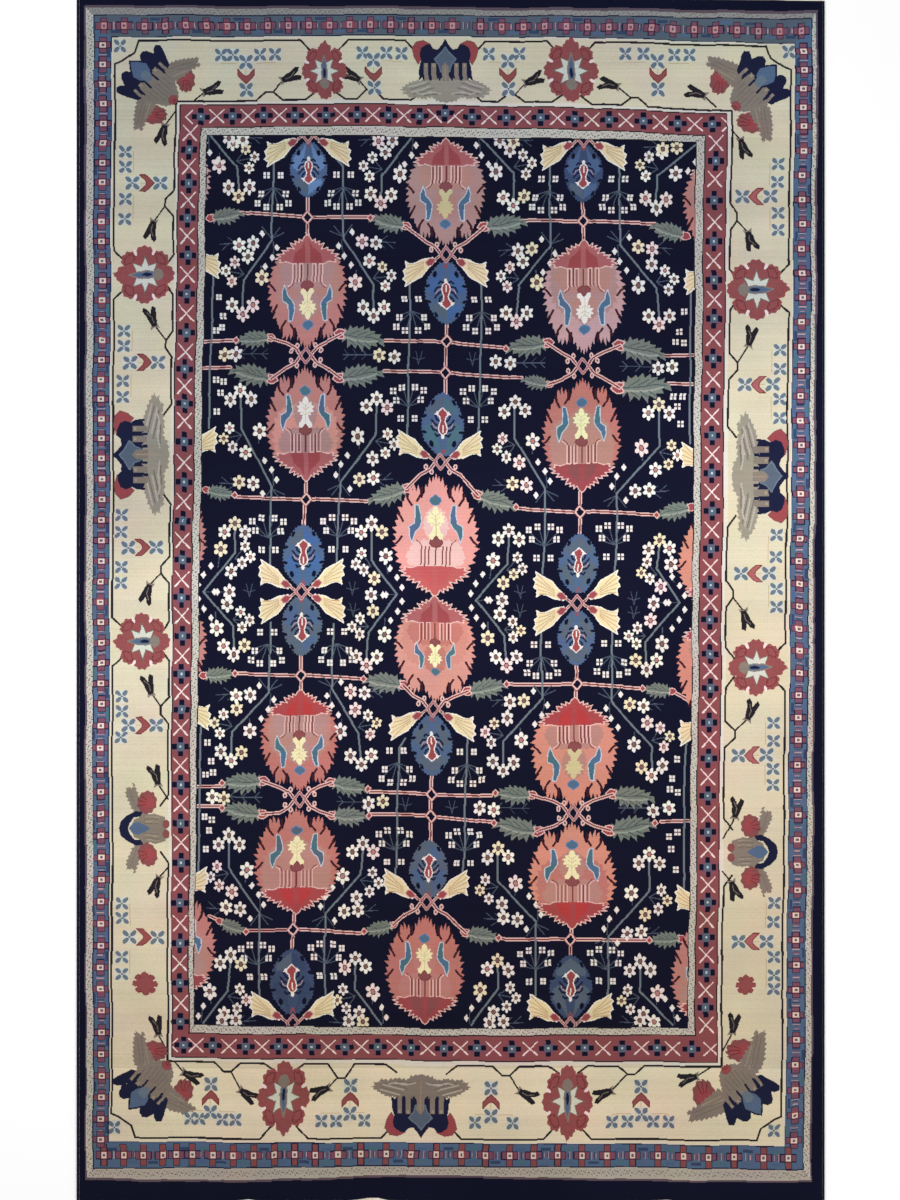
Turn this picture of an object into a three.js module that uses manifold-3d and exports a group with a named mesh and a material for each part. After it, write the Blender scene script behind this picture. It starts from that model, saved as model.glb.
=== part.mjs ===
// Hand-knotted carpet, 3.05 by 4.88 m, lying flat: the knotted cloth, the overcast cord along each
// side, and a worn warp fringe on its narrow woven strip at each end.
// Millimetres, +X right, +Y towards the top end, +Z up. The origin is on the floor under the middle.
import * as THREE from "three";
import { mergeVertices } from "three/addons/utils/BufferGeometryUtils.js";
import Module from "manifold-3d";

const wasm = await Module();
wasm.setup();

// Driving dimensions.
const WIDTH = 3050; // over both side cords
const LENGTH = 4888; // of the knotted cloth, between the mean lines of its ends
const THICKNESS = 9; // foundation and pile
const FOUNDATION = 3; // height at which the pile's edge starts to lean in
const PILE_ROUNDING = 6; // how far the pile's edge leans in at the top
const GAP = 0.3; // between neighbouring pieces
const EDGE_STEPS = 48; // straight stretches along an end of the cloth

// The overcast cords; the one on the left shows wider.
const SIDE_CORDS = [
  { name: "side_cord_left", side: -1, width: 12, height: 8 },
  { name: "side_cord_right", side: 1, width: 9, height: 8 },
];
const CORD_STEPS = 36;
const CORD_SIDES = 8;
const CORD_UNEVENNESS = 0.5; // how much the cord's width comes and goes

// The fringes.
const STRIP_DEPTH = 9; // woven strip that the strands hang from
const STRIP_HEIGHT = 2.2;
const LOCKS = 100; // strands at each end
const HALF_REACH = 2512; // from the middle to the tip of the longest strand
const LOCK_ROOT = { width: 8, height: 4.2 };
const LOCK_TIP = { width: 3.4, height: 2 };
const LOCK_OVERLAP = 4; // how far a root runs into the strip
const LOCK_MIN = 9; // free length of the most worn strand
const LOCK_MARGIN = 20; // from the carpet's side to the first strand's share of the end
const LOCK_SHIFT = 3; // most that two roots differ from an even pitch
const LOCK_SWING = 9; // most that two tips differ in how far they lean sideways
const LOCK_STATIONS = [0, 0.45, 1]; // shares of a strand's length that its outline passes through
const WEAR_BY_STRAND = 0.55; // share of the wear that differs from one strand to the next
const WEAR_WAVE = 0.11; // radians of the slow coming and going of the wear, for each strand

// How far an end of the cloth runs past its mean line, at shares of the width from the left.
const TOP_END = [
  { at: 0, out: 12 },
  { at: 0.2, out: 19 },
  { at: 0.5, out: 9 },
  { at: 0.78, out: 5 },
  { at: 0.93, out: -1 },
  { at: 0.96, out: -8 },
  { at: 1, out: -9 },
];
const BOTTOM_END = [
  { at: 0, out: -3 },
  { at: 0.165, out: 8 },
  { at: 0.23, out: -12 },
  { at: 0.29, out: -4 },
  { at: 0.4, out: -19 },
  { at: 0.49, out: -17 },
  { at: 0.57, out: 2 },
  { at: 0.7, out: -3 },
  { at: 0.77, out: -17 },
  { at: 0.83, out: 4 },
  { at: 0.895, out: -11 },
  { at: 1, out: 4 },
];

const dyed = (color, roughness = 0.95) =>
  new THREE.MeshStandardMaterial({ color, roughness, metalness: 0 });
const PILE_WOOL = dyed(0x231f3a);
const CORD_WOOL = dyed(0x1d1c2c);
const WARP_COTTON = dyed(0xd8cfb8, 0.9);

// A repeatable scatter between 0 and 1 for strand number i.
const scatter = (i, seed) => {
  const wave = Math.sin(i * 12.9898 + seed * 78.233) * 43758.5453;
  return wave - Math.floor(wave);
};

// The offset of an end at a share of the width, easing from each row of its table to the next.
function endOffset(table, share) {
  const next = Math.max(1, table.findIndex((row) => row.at >= share));
  const from = table[next - 1];
  const to = table[next];
  const t = THREE.MathUtils.smoothstep(share, from.at, to.at);
  return THREE.MathUtils.lerp(from.out, to.out, t);
}

const shareOf = (x) => THREE.MathUtils.clamp(x / WIDTH + 0.5, 0, 1);
const topY = (x) => LENGTH / 2 + endOffset(TOP_END, shareOf(x));
const bottomY = (x) => -LENGTH / 2 - endOffset(BOTTOM_END, shareOf(x));

// A closed body through rings of the same number of points, capped at both ends and facing out.
function loft(rings, capFaces) {
  const n = rings[0].length;
  const last = (rings.length - 1) * n;
  const faces = [];
  for (let r = 0; r < rings.length - 1; r++) {
    for (let i = 0; i < n; i++) {
      const a = r * n + i;
      const b = r * n + ((i + 1) % n);
      faces.push([a, b, b + n], [a, b + n, a + n]);
    }
  }
  for (const [a, b, c] of capFaces) {
    faces.push([a, c, b], [last + a, last + b, last + c]);
  }
  const points = rings.flat();
  const volume = faces.reduce(
    (sum, [a, b, c]) => sum + points[a].dot(points[b].clone().cross(points[c])),
    0,
  );
  if (volume < 0) {
    faces.forEach((face) => face.reverse());
  }
  return new THREE.BufferGeometry().setFromPoints(points).setIndex(faces.flat());
}

// Faces that fill a ring of n points by fanning out from its first.
const fan = (n) => Array.from({ length: n - 2 }, (_, i) => [0, i + 1, i + 2]);

// The knotted cloth: its flat underside, its foundation's edge, and the pile leaning in above it.
function clothGeometry() {
  const left = -WIDTH / 2 + SIDE_CORDS[0].width + GAP;
  const right = WIDTH / 2 - SIDE_CORDS[1].width - GAP;
  const outline = (inset, z) => {
    const bottom = [];
    const top = [];
    for (let i = 0; i <= EDGE_STEPS; i++) {
      const x = THREE.MathUtils.lerp(left + inset, right - inset, i / EDGE_STEPS);
      bottom.push(new THREE.Vector3(x, bottomY(x) + inset, z));
      top.unshift(new THREE.Vector3(x, topY(x) - inset, z));
    }
    return [...bottom, ...top];
  };
  const rise = THICKNESS - FOUNDATION;
  const rings = [outline(0, 0), outline(0, FOUNDATION)];
  for (const angle of [Math.PI / 6, Math.PI / 3, Math.PI / 2]) {
    rings.push(
      outline(PILE_ROUNDING * (1 - Math.cos(angle)), FOUNDATION + rise * Math.sin(angle)),
    );
  }
  const flat = rings[0].map((p) => new THREE.Vector2(p.x, p.y));
  return loft(rings, THREE.ShapeUtils.triangulateShape(flat, []));
}

// One overcast cord: a rounded section with a flat foot, from the bottom end to the top end.
function cordGeometry({ side, width, height }) {
  const inner = side * (WIDTH / 2 - width);
  const rings = [];
  for (let step = 0; step <= CORD_STEPS; step++) {
    const along = step / CORD_STEPS;
    const y = THREE.MathUtils.lerp(bottomY(inner), topY(inner), along);
    const swell = step % 3 ? 0 : CORD_UNEVENNESS * scatter(step, side);
    const ring = [];
    for (let i = 0; i < CORD_SIDES; i++) {
      const angle = (2 * Math.PI * (i + 0.5)) / CORD_SIDES;
      const out = (width / 2) * (1 + Math.cos(angle) / Math.cos(Math.PI / CORD_SIDES));
      const up = (height / 2) * (1 + Math.sin(angle) / Math.cos(Math.PI / CORD_SIDES));
      const reach = out > width / 2 ? out - swell : out;
      ring.push(new THREE.Vector3(inner + side * reach, y, Math.max(0, up)));
    }
    rings.push(ring);
  }
  return loft(rings, fan(CORD_SIDES));
}

// The woven strip along an end of the cloth. way is +1 at the top end and -1 at the bottom.
function stripGeometry(way, endY) {
  const left = -WIDTH / 2 + SIDE_CORDS[0].width;
  const right = WIDTH / 2 - SIDE_CORDS[1].width;
  const rings = [];
  for (let i = 0; i <= EDGE_STEPS; i++) {
    const x = THREE.MathUtils.lerp(left, right, i / EDGE_STEPS);
    const near = endY(x) + way * GAP;
    const far = near + way * STRIP_DEPTH;
    rings.push([
      new THREE.Vector3(x, near, 0),
      new THREE.Vector3(x, far, 0),
      new THREE.Vector3(x, far, STRIP_HEIGHT),
      new THREE.Vector3(x, near, STRIP_HEIGHT),
    ]);
  }
  return loft(rings, fan(4));
}

// One strand: a three-sided taper that lies on the floor and swings a little to one side.
function lockGeometry(way, x, rootY, tipY, swing) {
  const rings = LOCK_STATIONS.map((t) => {
    const y = THREE.MathUtils.lerp(rootY, tipY, t);
    const middle = x + swing * t * t;
    const half = THREE.MathUtils.lerp(LOCK_ROOT.width, LOCK_TIP.width, t) / 2;
    const height = THREE.MathUtils.lerp(LOCK_ROOT.height, LOCK_TIP.height, t);
    return [
      new THREE.Vector3(middle - half, y, 0),
      new THREE.Vector3(middle + half, y, 0),
      new THREE.Vector3(middle, y, height),
    ];
  });
  return loft(rings, fan(3));
}

function solid(geometry) {
  const merged = mergeVertices(geometry);
  return new wasm.Manifold(
    new wasm.Mesh({
      numProp: 3,
      vertProperties: merged.attributes.position.array,
      triVerts: new Uint32Array(merged.index.array),
    }),
  );
}

// The strip and its strands, their roots fused into it.
function fringeGeometry(way, endY, seed) {
  const pitch = (WIDTH - 2 * LOCK_MARGIN) / LOCKS;
  const wear = Array.from({ length: LOCKS }, (_, i) => {
    const slow = 0.5 + 0.5 * Math.sin(i * WEAR_WAVE + 2 * seed);
    return THREE.MathUtils.lerp(slow, scatter(i, seed), WEAR_BY_STRAND);
  });
  const leastWorn = Math.min(...wear);
  let joined = solid(stripGeometry(way, endY));
  wear.forEach((worn, i) => {
    const shift = LOCK_SHIFT * (scatter(i, seed + 3) - 0.5);
    const x = (i - (LOCKS - 1) / 2) * pitch + shift;
    const stripEnd = endY(x) + way * (GAP + STRIP_DEPTH);
    const longest = HALF_REACH - way * stripEnd;
    const free = THREE.MathUtils.lerp(longest, LOCK_MIN, worn - leastWorn);
    const swing = LOCK_SWING * (scatter(i, seed + 7) - 0.5);
    const root = stripEnd - way * LOCK_OVERLAP;
    joined = joined.add(solid(lockGeometry(way, x, root, stripEnd + way * free, swing)));
  });
  const mesh = joined.getMesh();
  return new THREE.BufferGeometry()
    .setAttribute("position", new THREE.BufferAttribute(mesh.vertProperties, 3))
    .setIndex(new THREE.BufferAttribute(mesh.triVerts, 1));
}

function piece(name, geometry, material) {
  const mesh = new THREE.Mesh(geometry, material);
  mesh.name = name;
  return mesh;
}

const carpet = new THREE.Group();
carpet.add(piece("rug", clothGeometry(), PILE_WOOL));
for (const cord of SIDE_CORDS) {
  carpet.add(piece(cord.name, cordGeometry(cord), CORD_WOOL));
}
carpet.add(piece("fringe_top", fringeGeometry(1, topY, 1), WARP_COTTON));
carpet.add(piece("fringe_bottom", fringeGeometry(-1, bottomY, 2), WARP_COTTON));

export default carpet;
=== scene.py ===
# A hand-knotted carpet lying flat on a pale floor, seen from straight above.
# Its design is painted knot by knot on a chart, then laid out as pile, piece by piece.
import math

import bpy
import numpy as np
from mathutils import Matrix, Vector

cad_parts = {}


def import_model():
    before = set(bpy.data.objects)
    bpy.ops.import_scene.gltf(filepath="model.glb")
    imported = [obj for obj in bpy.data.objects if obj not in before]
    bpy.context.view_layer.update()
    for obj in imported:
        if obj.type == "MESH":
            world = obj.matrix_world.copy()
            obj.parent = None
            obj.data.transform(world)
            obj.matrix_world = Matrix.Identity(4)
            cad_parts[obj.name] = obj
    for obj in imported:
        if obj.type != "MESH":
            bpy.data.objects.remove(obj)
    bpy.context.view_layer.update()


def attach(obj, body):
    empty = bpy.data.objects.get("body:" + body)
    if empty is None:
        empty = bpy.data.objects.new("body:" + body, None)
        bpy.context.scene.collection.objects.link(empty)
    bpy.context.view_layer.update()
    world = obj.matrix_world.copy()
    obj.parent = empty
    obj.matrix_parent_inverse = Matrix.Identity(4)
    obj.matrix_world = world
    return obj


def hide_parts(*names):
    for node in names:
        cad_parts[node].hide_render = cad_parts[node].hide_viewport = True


# Sizes of the carpet, in metres.
CARPET_WIDTH = 3.05
KNOT = 0.00254
# The drawing is laid out in units of the 900 by 1200 photograph.
LEFT, RIGHT = 76.3, 824.8
UNIT = CARPET_WIDTH / (RIGHT - LEFT)
MIDDLE_X, MIDDLE_Y = 450, 600

DYES = dict(
    navy=(17, 18, 38), band=(15, 17, 38), black=(36, 33, 38), ink=(28, 31, 56), ivory=(213, 202, 172),
    halo=(206, 206, 190), pale=(218, 210, 194), stripe=(196, 190, 176), speck=(116, 108, 104),
    plum=(96, 80, 88), rose=(136, 76, 78), rust=(134, 76, 76), brick=(152, 72, 74), red=(162, 72, 73),
    blood=(176, 62, 62), wash=(190, 88, 88), coral=(186, 94, 92), madder=(112, 52, 54),
    maroon=(62, 28, 36), mauve=(172, 134, 128), fawn=(178, 130, 118), rosy=(184, 124, 116),
    terra=(184, 116, 106), salmon=(206, 138, 118), blush=(222, 154, 142), peach=(206, 144, 130),
    dust=(192, 152, 150), pink=(226, 184, 174), white=(232, 224, 214), petal=(236, 214, 206),
    cream=(234, 224, 174), straw=(204, 190, 142), heart=(128, 92, 78), blue=(70, 100, 146),
    sky=(104, 132, 170), denim=(78, 98, 128), slate=(86, 98, 112), mist=(190, 198, 206),
    steel=(84, 102, 128), guard=(82, 104, 130), rung=(56, 70, 98), wine=(124, 78, 94),
    teal=(76, 108, 118), floret=(102, 116, 128), dusk=(62, 76, 104), dusky=(166, 96, 96),
    bloom=(198, 134, 120), leaf=(116, 122, 112), sage=(148, 152, 140), biscuit=(228, 208, 164),
    milk=(240, 234, 218), butter=(232, 218, 182), vein=(74, 84, 84), stem=(108, 118, 122),
    twig=(76, 86, 98), taupe=(132, 120, 108), umber=(118, 106, 96), flax=(158, 144, 122),
    tan=(186, 160, 120), chalk=(226, 214, 182), hemp=(178, 170, 156), wing=(150, 142, 126),
    storm=(88, 98, 106), ring=(145, 78, 77), ash=(150, 146, 138), lagoon=(80, 108, 132),
)
NUMBER = {name: i for i, name in enumerate(DYES)}

# The chart reaches a little past the cloth on every side.
CHART_LEFT, CHART_TOP = 79.0, -8.0
CHART_RIGHT, CHART_BOTTOM = 823.0, 1208.0
CELLS = UNIT / KNOT
COLUMNS = int(round((CHART_RIGHT - CHART_LEFT) * CELLS))
ROWS = int(round((CHART_BOTTOM - CHART_TOP) * CELLS))
chart = np.full((ROWS, COLUMNS), NUMBER["band"], np.uint8)


def spot(x=0.0, y=0.0, wide=1.0, tall=None, turn=0.0):
    """A placing: scaled, then turned clockwise by degrees, then moved to (x, y)."""
    tall = wide if tall is None else tall
    c, s = math.cos(math.radians(turn)), math.sin(math.radians(turn))
    return np.array([[c * wide, -s * tall, x], [s * wide, c * tall, y], [0, 0, 1]], float)


HERE = spot()


def points(row):
    """A flat row of coordinates as a list of points."""
    return list(zip(row[::2], row[1::2]))


def cells(place, path):
    """A path of a placing, in cells of the chart."""
    p = np.asarray(path, float) @ place[:2, :2].T + place[:2, 2]
    return (p - (CHART_LEFT, CHART_TOP)) * CELLS


def window(low, high):
    c0, r0 = np.maximum(np.floor(low).astype(int) - 1, 0)
    c1, r1 = np.minimum(np.ceil(high).astype(int) + 2, (COLUMNS, ROWS))
    if c1 <= c0 or r1 <= r0:
        return None
    x = np.arange(c0, c1)[None, :] + 0.5
    y = np.arange(r0, r1)[:, None] + 0.5
    return slice(r0, r1), slice(c0, c1), x, y


def inside(p):
    """The cells inside a closed path, given in cells: row and column slices and a mask."""
    view = window(p.min(0), p.max(0))
    if view is None:
        return None
    rows, columns, x, y = view
    mask = np.zeros((y.size, x.size), bool)
    for (ax, ay), (bx, by) in zip(p, np.roll(p, -1, 0)):
        if ay != by:
            crosses = (ay > y) != (by > y)
            mask ^= crosses & (x < (bx - ax) * (y - ay) / (by - ay) + ax)
    return rows, columns, mask


def fill(place, path, dye):
    found = inside(cells(place, path))
    if found:
        rows, columns, mask = found
        chart[rows, columns][mask] = NUMBER[dye]


def line(place, path, width, dye, closed=False):
    p = cells(place, path)
    half = 0.5 * width * CELLS * math.sqrt(abs(np.linalg.det(place[:2, :2])))
    ends = np.roll(p, -1, 0) if closed else p[1:]
    for a, b in zip(p, ends):
        view = window(np.minimum(a, b) - half, np.maximum(a, b) + half)
        if view is None:
            continue
        rows, columns, x, y = view
        d = b - a
        t = np.clip(((x - a[0]) * d[0] + (y - a[1]) * d[1]) / max(d @ d, 1e-9), 0, 1)
        near = (x - a[0] - t * d[0]) ** 2 + (y - a[1] - t * d[1]) ** 2 <= half * half
        chart[rows, columns][near] = NUMBER[dye]


def oval(place, x, y, rx, ry, dye, turn=0.0):
    local = place @ spot(x, y, rx, ry, turn)
    angles = np.linspace(0, 2 * math.pi, 14, endpoint=False)
    fill(local, np.stack([np.cos(angles), np.sin(angles)], 1), dye)


def bar(place, x, y, wide, tall, dye):
    w, t = wide / 2, tall / 2
    fill(place, [(x - w, y - t), (x + w, y - t), (x + w, y + t), (x - w, y + t)], dye)


def edged(place, path, body, edge, width):
    fill(place, path, body)
    line(place, path, width, edge, closed=True)


def both(half):
    """A closed outline from its right half, read from top to bottom."""
    return list(half) + [(-u, v) for u, v in reversed(half)]


def toothed(path, pitch, depth):
    """A path with saw teeth that lean along it."""
    run = np.asarray(path, float)
    far = np.concatenate([[0], np.cumsum(np.hypot(*np.diff(run, axis=0).T))])
    count = max(2, int(round(far[-1] / pitch)))
    out = []
    for i in range(count):
        a, b = (np.array([np.interp(far[-1] * s, far, run[:, k]) for k in (0, 1)])
                for s in (i / count, (i + 0.8) / count))
        normal = np.array([b[1] - a[1], a[0] - b[0]]) / max(np.hypot(*(b - a)), 1e-9)
        size = depth * (0.8 + 0.35 * math.sin(2.3 * i + far[-1]))
        out += [tuple(a - normal * size * 0.4), tuple(b + normal * size * 0.6)]
    return out + [tuple(run[-1])]


def halves(place):
    return place, place @ spot(0, 0, -1, 1)


# The dye of each cap's middle.
CAP_HEARTS = {"brick": "rust", "red": "blood", "coral": "wash", "dusky": "brick"}

# The rose palmette, cap up, from its cap's tip at v = -57 to its tail at v = 58.
PALMETTE_SIDE = [
    (29, -32), (34, -25), (37.5, -15), (38.5, -5), (38, 6), (36, 17), (33, 26), (29.5, 33.5),
]
PALMETTE_TAIL = [
    (28.6, 38), (25, 36), (25.6, 42), (25, 47.6), (23.2, 46), (22, 42), (21.6, 50.4), (19.8, 47),
    (18.6, 42), (16.8, 48.6), (15.4, 44), (15, 37), (12.6, 36), (10.6, 42), (10, 49.6), (8, 46),
    (6.2, 55.4), (4.2, 50), (2.8, 57), (1.4, 53), (0, 60),
]
PALMETTE_CAP = [
    (0, -57), (3, -54.4), (5, -50.6), (8.4, -52.6), (8, -48.6), (12.6, -50.6), (11.6, -46.6), (17, -48.4),
    (15.4, -44.6), (13.6, -42.6), (21, -43.4), (19.8, -40.4), (26.6, -41), (23.6, -37.6), (31.6, -36.6),
    (27.4, -34.6), (33.4, -32), (27.6, -31.2), (28.6, -28.6), (21.6, -29.4), (16.5, -27.6),
]
PALMETTE_FLOWER = [
    (0, 1.4), (1.8, -1), (3.6, -3.4), (6.4, -2.4), (6.8, 1), (4.6, 3.6), (3.2, 7), (3, 10), (5.6, 9.6),
    (4.8, 12.4), (8.6, 13), (6.6, 16), (9.2, 18.4), (5.8, 19.4), (6.4, 23), (3.4, 22.4), (2, 27), (0, 28.4),
]
PALMETTE_LEAF = [
    (23, -6), (25.2, 1), (25, 9.4), (19.8, 12.6), (19.2, 21), (19.4, 30), (15.8, 29.4),
    (13.8, 21), (13, 13.4), (15.6, 8.4), (19.6, 4), (21.2, -1),
]


def rose_palmette(place, body="fawn", shade="mauve", edge="rosy", leaf=("lagoon", "teal"),
                  cap="brick", flower="cream", inner=1.0):
    side = toothed(PALMETTE_SIDE, 6.2, 4.8)
    fill(place, both([(0, -40)] + side + PALMETTE_TAIL), edge)
    fill(place, both(toothed([(0, -36), (30, -32), (33, -14), (31, 4), (24, 16), (0, 24)], 7, 4)), body)
    fill(place, both(toothed([(0, -30), (25, -27), (28, -18), (22, -6), (12, -3), (0, -4)], 5, 2)), shade)
    fill(place, both(toothed([(0, -2), (9, 0), (12, 9), (9, 22), (0, 30)], 5, 2)), shade)
    for half in halves(place):
        for hook in ([(13.6, 46), (13.4, 40), (17.4, 33.4)], [(27.4, 40), (26, 35), (22.4, 29.6)],
                     [(35.4, 22), (32.6, 18.6), (30.6, 14.4)], [(38.4, -7), (35.4, -4.4), (32.4, 0)]):
            line(half, hook, 2.2, "maroon")
    fill(place, both(PALMETTE_CAP + [(0, -28)]), cap)
    bar(place, 0, -18, 1.5, 19, "madder")
    for half in halves(place):
        fill(half, [(2.4, -50), (6, -44), (13, -38), (15, -29), (2.4, -28.4)], CAP_HEARTS[cap])
        line(half, PALMETTE_CAP, 1.0, "pink")
        for u in (4.8, 8.2, 11.6, 15.2):
            line(half, [(u, -27.6), (u, -9.4)], 0.9, "pink")
        for u in (6.5, 9.9, 13.5):
            line(half, [(u, -28), (u, -9.6)], 0.9, "madder")
        for u in (4.8, 11.6):
            line(half, [(u, -27.4), (u + 3.4, -27.4)], 0.9, "pink")
        line(half, [(15.2, -9.4), (16.6, -6.6), (20, -4.4)], 0.9, "pink")
        line(half, [(13.5, -9.6), (15, -6.2), (18.4, -3.4)], 0.8, "madder")
    core = place @ spot(0, -8 * (1 - inner), inner)
    cup = both([(0, -10.6), (4, -9.6), (6.4, -6.4), (5.4, -3.4), (2.4, -2), (0, 0.6)])
    edged(core, cup, "rust", "madder", 0.8)
    for half, dyes in zip(halves(core), (leaf, leaf[::-1])):
        fill(half, PALMETTE_LEAF, dyes[0])
        fill(half, PALMETTE_LEAF[3:9], dyes[1])
        line(half, PALMETTE_LEAF, 0.9, "mist", closed=True)
    diamond = both([(0, 29), (3, 30), (5.6, 33), (4.8, 36), (2.4, 37.4), (0, 39.4)])
    edged(core, diamond, leaf[0], "sky", 0.8)
    fill(core, both(PALMETTE_FLOWER), flower)
    for rise in (12, 17, 21):
        line(core, [(-4, rise + 1), (0, rise - 2.4), (4, rise + 1)], 0.7, "straw")
    line(core, [(0, 1), (0, 20)], 0.7, "straw")


# The blue palmette, its red tuft up, from v = -31 to v = 31.
BLUE_SIDE = [
    (0, -31), (6, -30.2), (10.6, -25.6), (14.4, -20.4), (18.4, -15), (19.6, -9), (21, -3), (20.4, 5),
    (18.4, 11), (15, 18), (11, 24), (7, 28.6), (0, 31.4),
]


def blue_palmette(place, body="denim", patch="blue"):
    fill(place, both(toothed(BLUE_SIDE, 3.6, 1.7)), body)
    for half, dye in zip(halves(place), (patch, "slate")):
        fill(half, toothed([(3, -29), (8, -20), (16, -15), (19, -4), (12, 2), (6, -8)], 4, 1.4), patch)
        fill(half, toothed([(0, 14), (8, 12), (14, 10), (15, 16), (8, 22), (0, 28)], 4, 1.4), dye)
        for u, v, ru, rv, turn in ((11.2, -18.8, 2.1, 3.4, -14), (18.6, -7.2, 2.9, 1.5, 12),
                                   (18, 8.4, 2.8, 1.5, -24), (10.4, 21.8, 1.5, 3.2, 28)):
            oval(half, u, v, ru, rv, "navy", turn)
        for limb in ([(2.4, -10), (5.6, -11.6), (7.4, -9.4)], [(3.6, -6.4), (9, -5.4), (11.4, -1.6)],
                     [(3.4, -2), (8, 0.6), (11, 4.6)], [(2.6, 2.6), (6.2, 5.4), (7.4, 9)]):
            line(half, limb, 1.9, "ink")
        line(half, [(3.6, -4.6), (8.4, -2.6), (10, 1)], 0.7, "dust")
    spindle = both([(0, -11), (3.4, -8), (4.4, -4), (3.4, 0), (2.2, 3.4), (3, 7.4), (6, 10.4),
                    (3.4, 13.4), (0, 16.4)])
    edged(place, spindle, "brick", "white", 1.1)
    oval(place, 0, -12.2, 1.7, 2.4, "white")
    bar(place, 0, -4.6, 1.3, 7.4, "white")
    for half in halves(place):
        fill(half, [(3.6, 10), (8.6, 9.4), (5.4, 13.4)], "white")
    fill(place, both([(0, -27), (3, -31.4), (1.2, -25)]), "brick")


def tulip(place):
    """One quarter's tulip, from the crossing at the origin out to the right and away."""
    cup = [(6.3, 6.4), (12.5, 11.8), (19.7, 21), (29, 26), (36, 30.4), (34.5, 26), (38, 23.4),
           (35.6, 20.4), (37.6, 15.4), (34.4, 13), (35.6, 6.6), (31.4, 9), (26, 8.2), (18.7, 4.6),
           (9.2, 3)]
    edged(place, cup, "biscuit", "milk", 1.0)
    for far in ((34.4, 28.4), (36, 23.6), (35.6, 18.6), (34.4, 13.4), (33, 9)):
        line(place, [(18, 7 + (far[1] - 9) * 0.3), (26, 9 + (far[1] - 9) * 0.55), far], 0.8, "tan")
    edged(place, [(5.6, 4.6), (9.6, 10), (13.4, 11), (16.2, 7.8), (12, 3.4)], "brick", "dust", 0.8)


LEAF_TOP = [(0, -2), (7, -7), (15, -8.4), (24, -8), (32, -5), (40, 0.6)]
LEAF_FOOT = [(0, 2), (6, 6.4), (13, 9.4), (21, 9.6), (30, 7), (40, 1)]


def serrated_leaf(place):
    """A leaf that grows from its bud at the origin to the right."""
    top = toothed(LEAF_TOP, 5.2, 4.0)
    foot = toothed([(u, -v) for u, v in LEAF_FOOT], 6.2, 6.4)
    fill(place, top + [(u, -v) for u, v in reversed(foot)], "leaf")
    line(place, [(4, 2.4), (14, 3.8), (26, 3.4), (34, 1.6)], 1.8, "sage")
    line(place, [(2, 0), (14, 0.6), (28, -1.0), (37, 0.6)], 0.9, "vein")
    for u in (8, 15, 22):
        line(place, [(u, -1), (u + 8, -5.4)], 0.8, "vein")
        line(place, [(u + 1, 4), (u + 7, 8.4)], 0.8, "vein")
    bud = [(-7, 0), (-3.4, -4.2), (-0.4, -4.4), (3.4, -3.6), (1.8, 0), (3.4, 3.6), (-0.4, 4.4), (-3, 3.8)]
    edged(place, bud, "brick", "pink", 1.0)


def double_line(path, width=3.5):
    """A light line with a dark red core, which links the motifs of the field."""
    line(HERE, path, width, "pink")
    line(HERE, path, width * 0.4, "madder")


def link_diamond(x, y):
    place = spot(x, y)
    edged(place, [(0, -6), (5, 0), (0, 6), (-5, 0)], "navy", "pink", 1.6)
    line(place, [(0, -7.4), (6.4, 0), (0, 7.4), (-6.4, 0)], 0.7, "rose", closed=True)


def blossom(x, y, size=1.0):
    """Six light petals round a brown heart, of a wool that differs from one flower to the next."""
    kind = int(3.7 * x + 1.3 * y) % 7
    place = spot(x, y, size * (0.95 + 0.02 * (kind % 3)), size * (1.04 + 0.05 * (kind % 4)))
    wools = ("white", "milk", "petal", "white", "butter", "milk", "white")
    for i in range(6):
        petal = place @ spot(turn=60 * i) @ spot(0, -4.4)
        oval(petal, 0, 0, 1.9, 2.6, wools[kind])
    oval(place, 0, 0, 2.5, 2.6, "ink")
    oval(place, 0, 0, 1.8, 1.9, "rosy" if kind in (2, 5) else "heart")


def small_flower(x, y):
    place = spot(x, y)
    bar(place, 0, 0, 6.0, 6.2, "white")
    bar(place, 0, 0, 1.0, 6.2, "navy")
    bar(place, 0, 0, 6.0, 0.9, "plum")


def petal_bud(x, y):
    fill(spot(x, y), [(0, -3.8), (2.8, 0), (0, 3.8), (-2.8, 0)], "white")


# The coordinate that runs along each side of the carpet.
ALONG = {"top": 0, "right": 1, "bottom": 0, "left": 1}


class Frame:
    """One nested rectangle of the borders: four corners, joined by slightly bowed sides."""

    def __init__(self, top_left, top_right, bottom_left, bottom_right, bows, wave=0):
        corners = np.array([top_left, top_right, bottom_right, bottom_left], float)
        share = np.linspace(0, 1, 41)[:, None]
        bulge = np.sin(math.pi * share)
        self.sides = {}
        for i, (side, bow) in enumerate(zip(("top", "right", "bottom", "left"), bows)):
            a, b = corners[i], corners[(i + 1) % 4]
            out = np.roll([0, bow], ALONG[side])
            self.sides[side] = a + (b - a) * share + out * bulge
            if side == "bottom":
                self.sides[side][:, 1:] -= wave * np.sin(3 * math.pi * share) * (0.3 + share)
        self.outline = np.concatenate([self.sides[s] for s in ("top", "right", "bottom", "left")])

    def at(self, side, s):
        """The point of a side at x = s on the top and bottom, or y = s on the left and right."""
        run = self.sides[side]
        along = ALONG[side]
        order = np.argsort(run[:, along])
        other = float(np.interp(s, run[order, along], run[order, 1 - along]))
        return (s, other) if along == 0 else (other, s)


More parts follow.
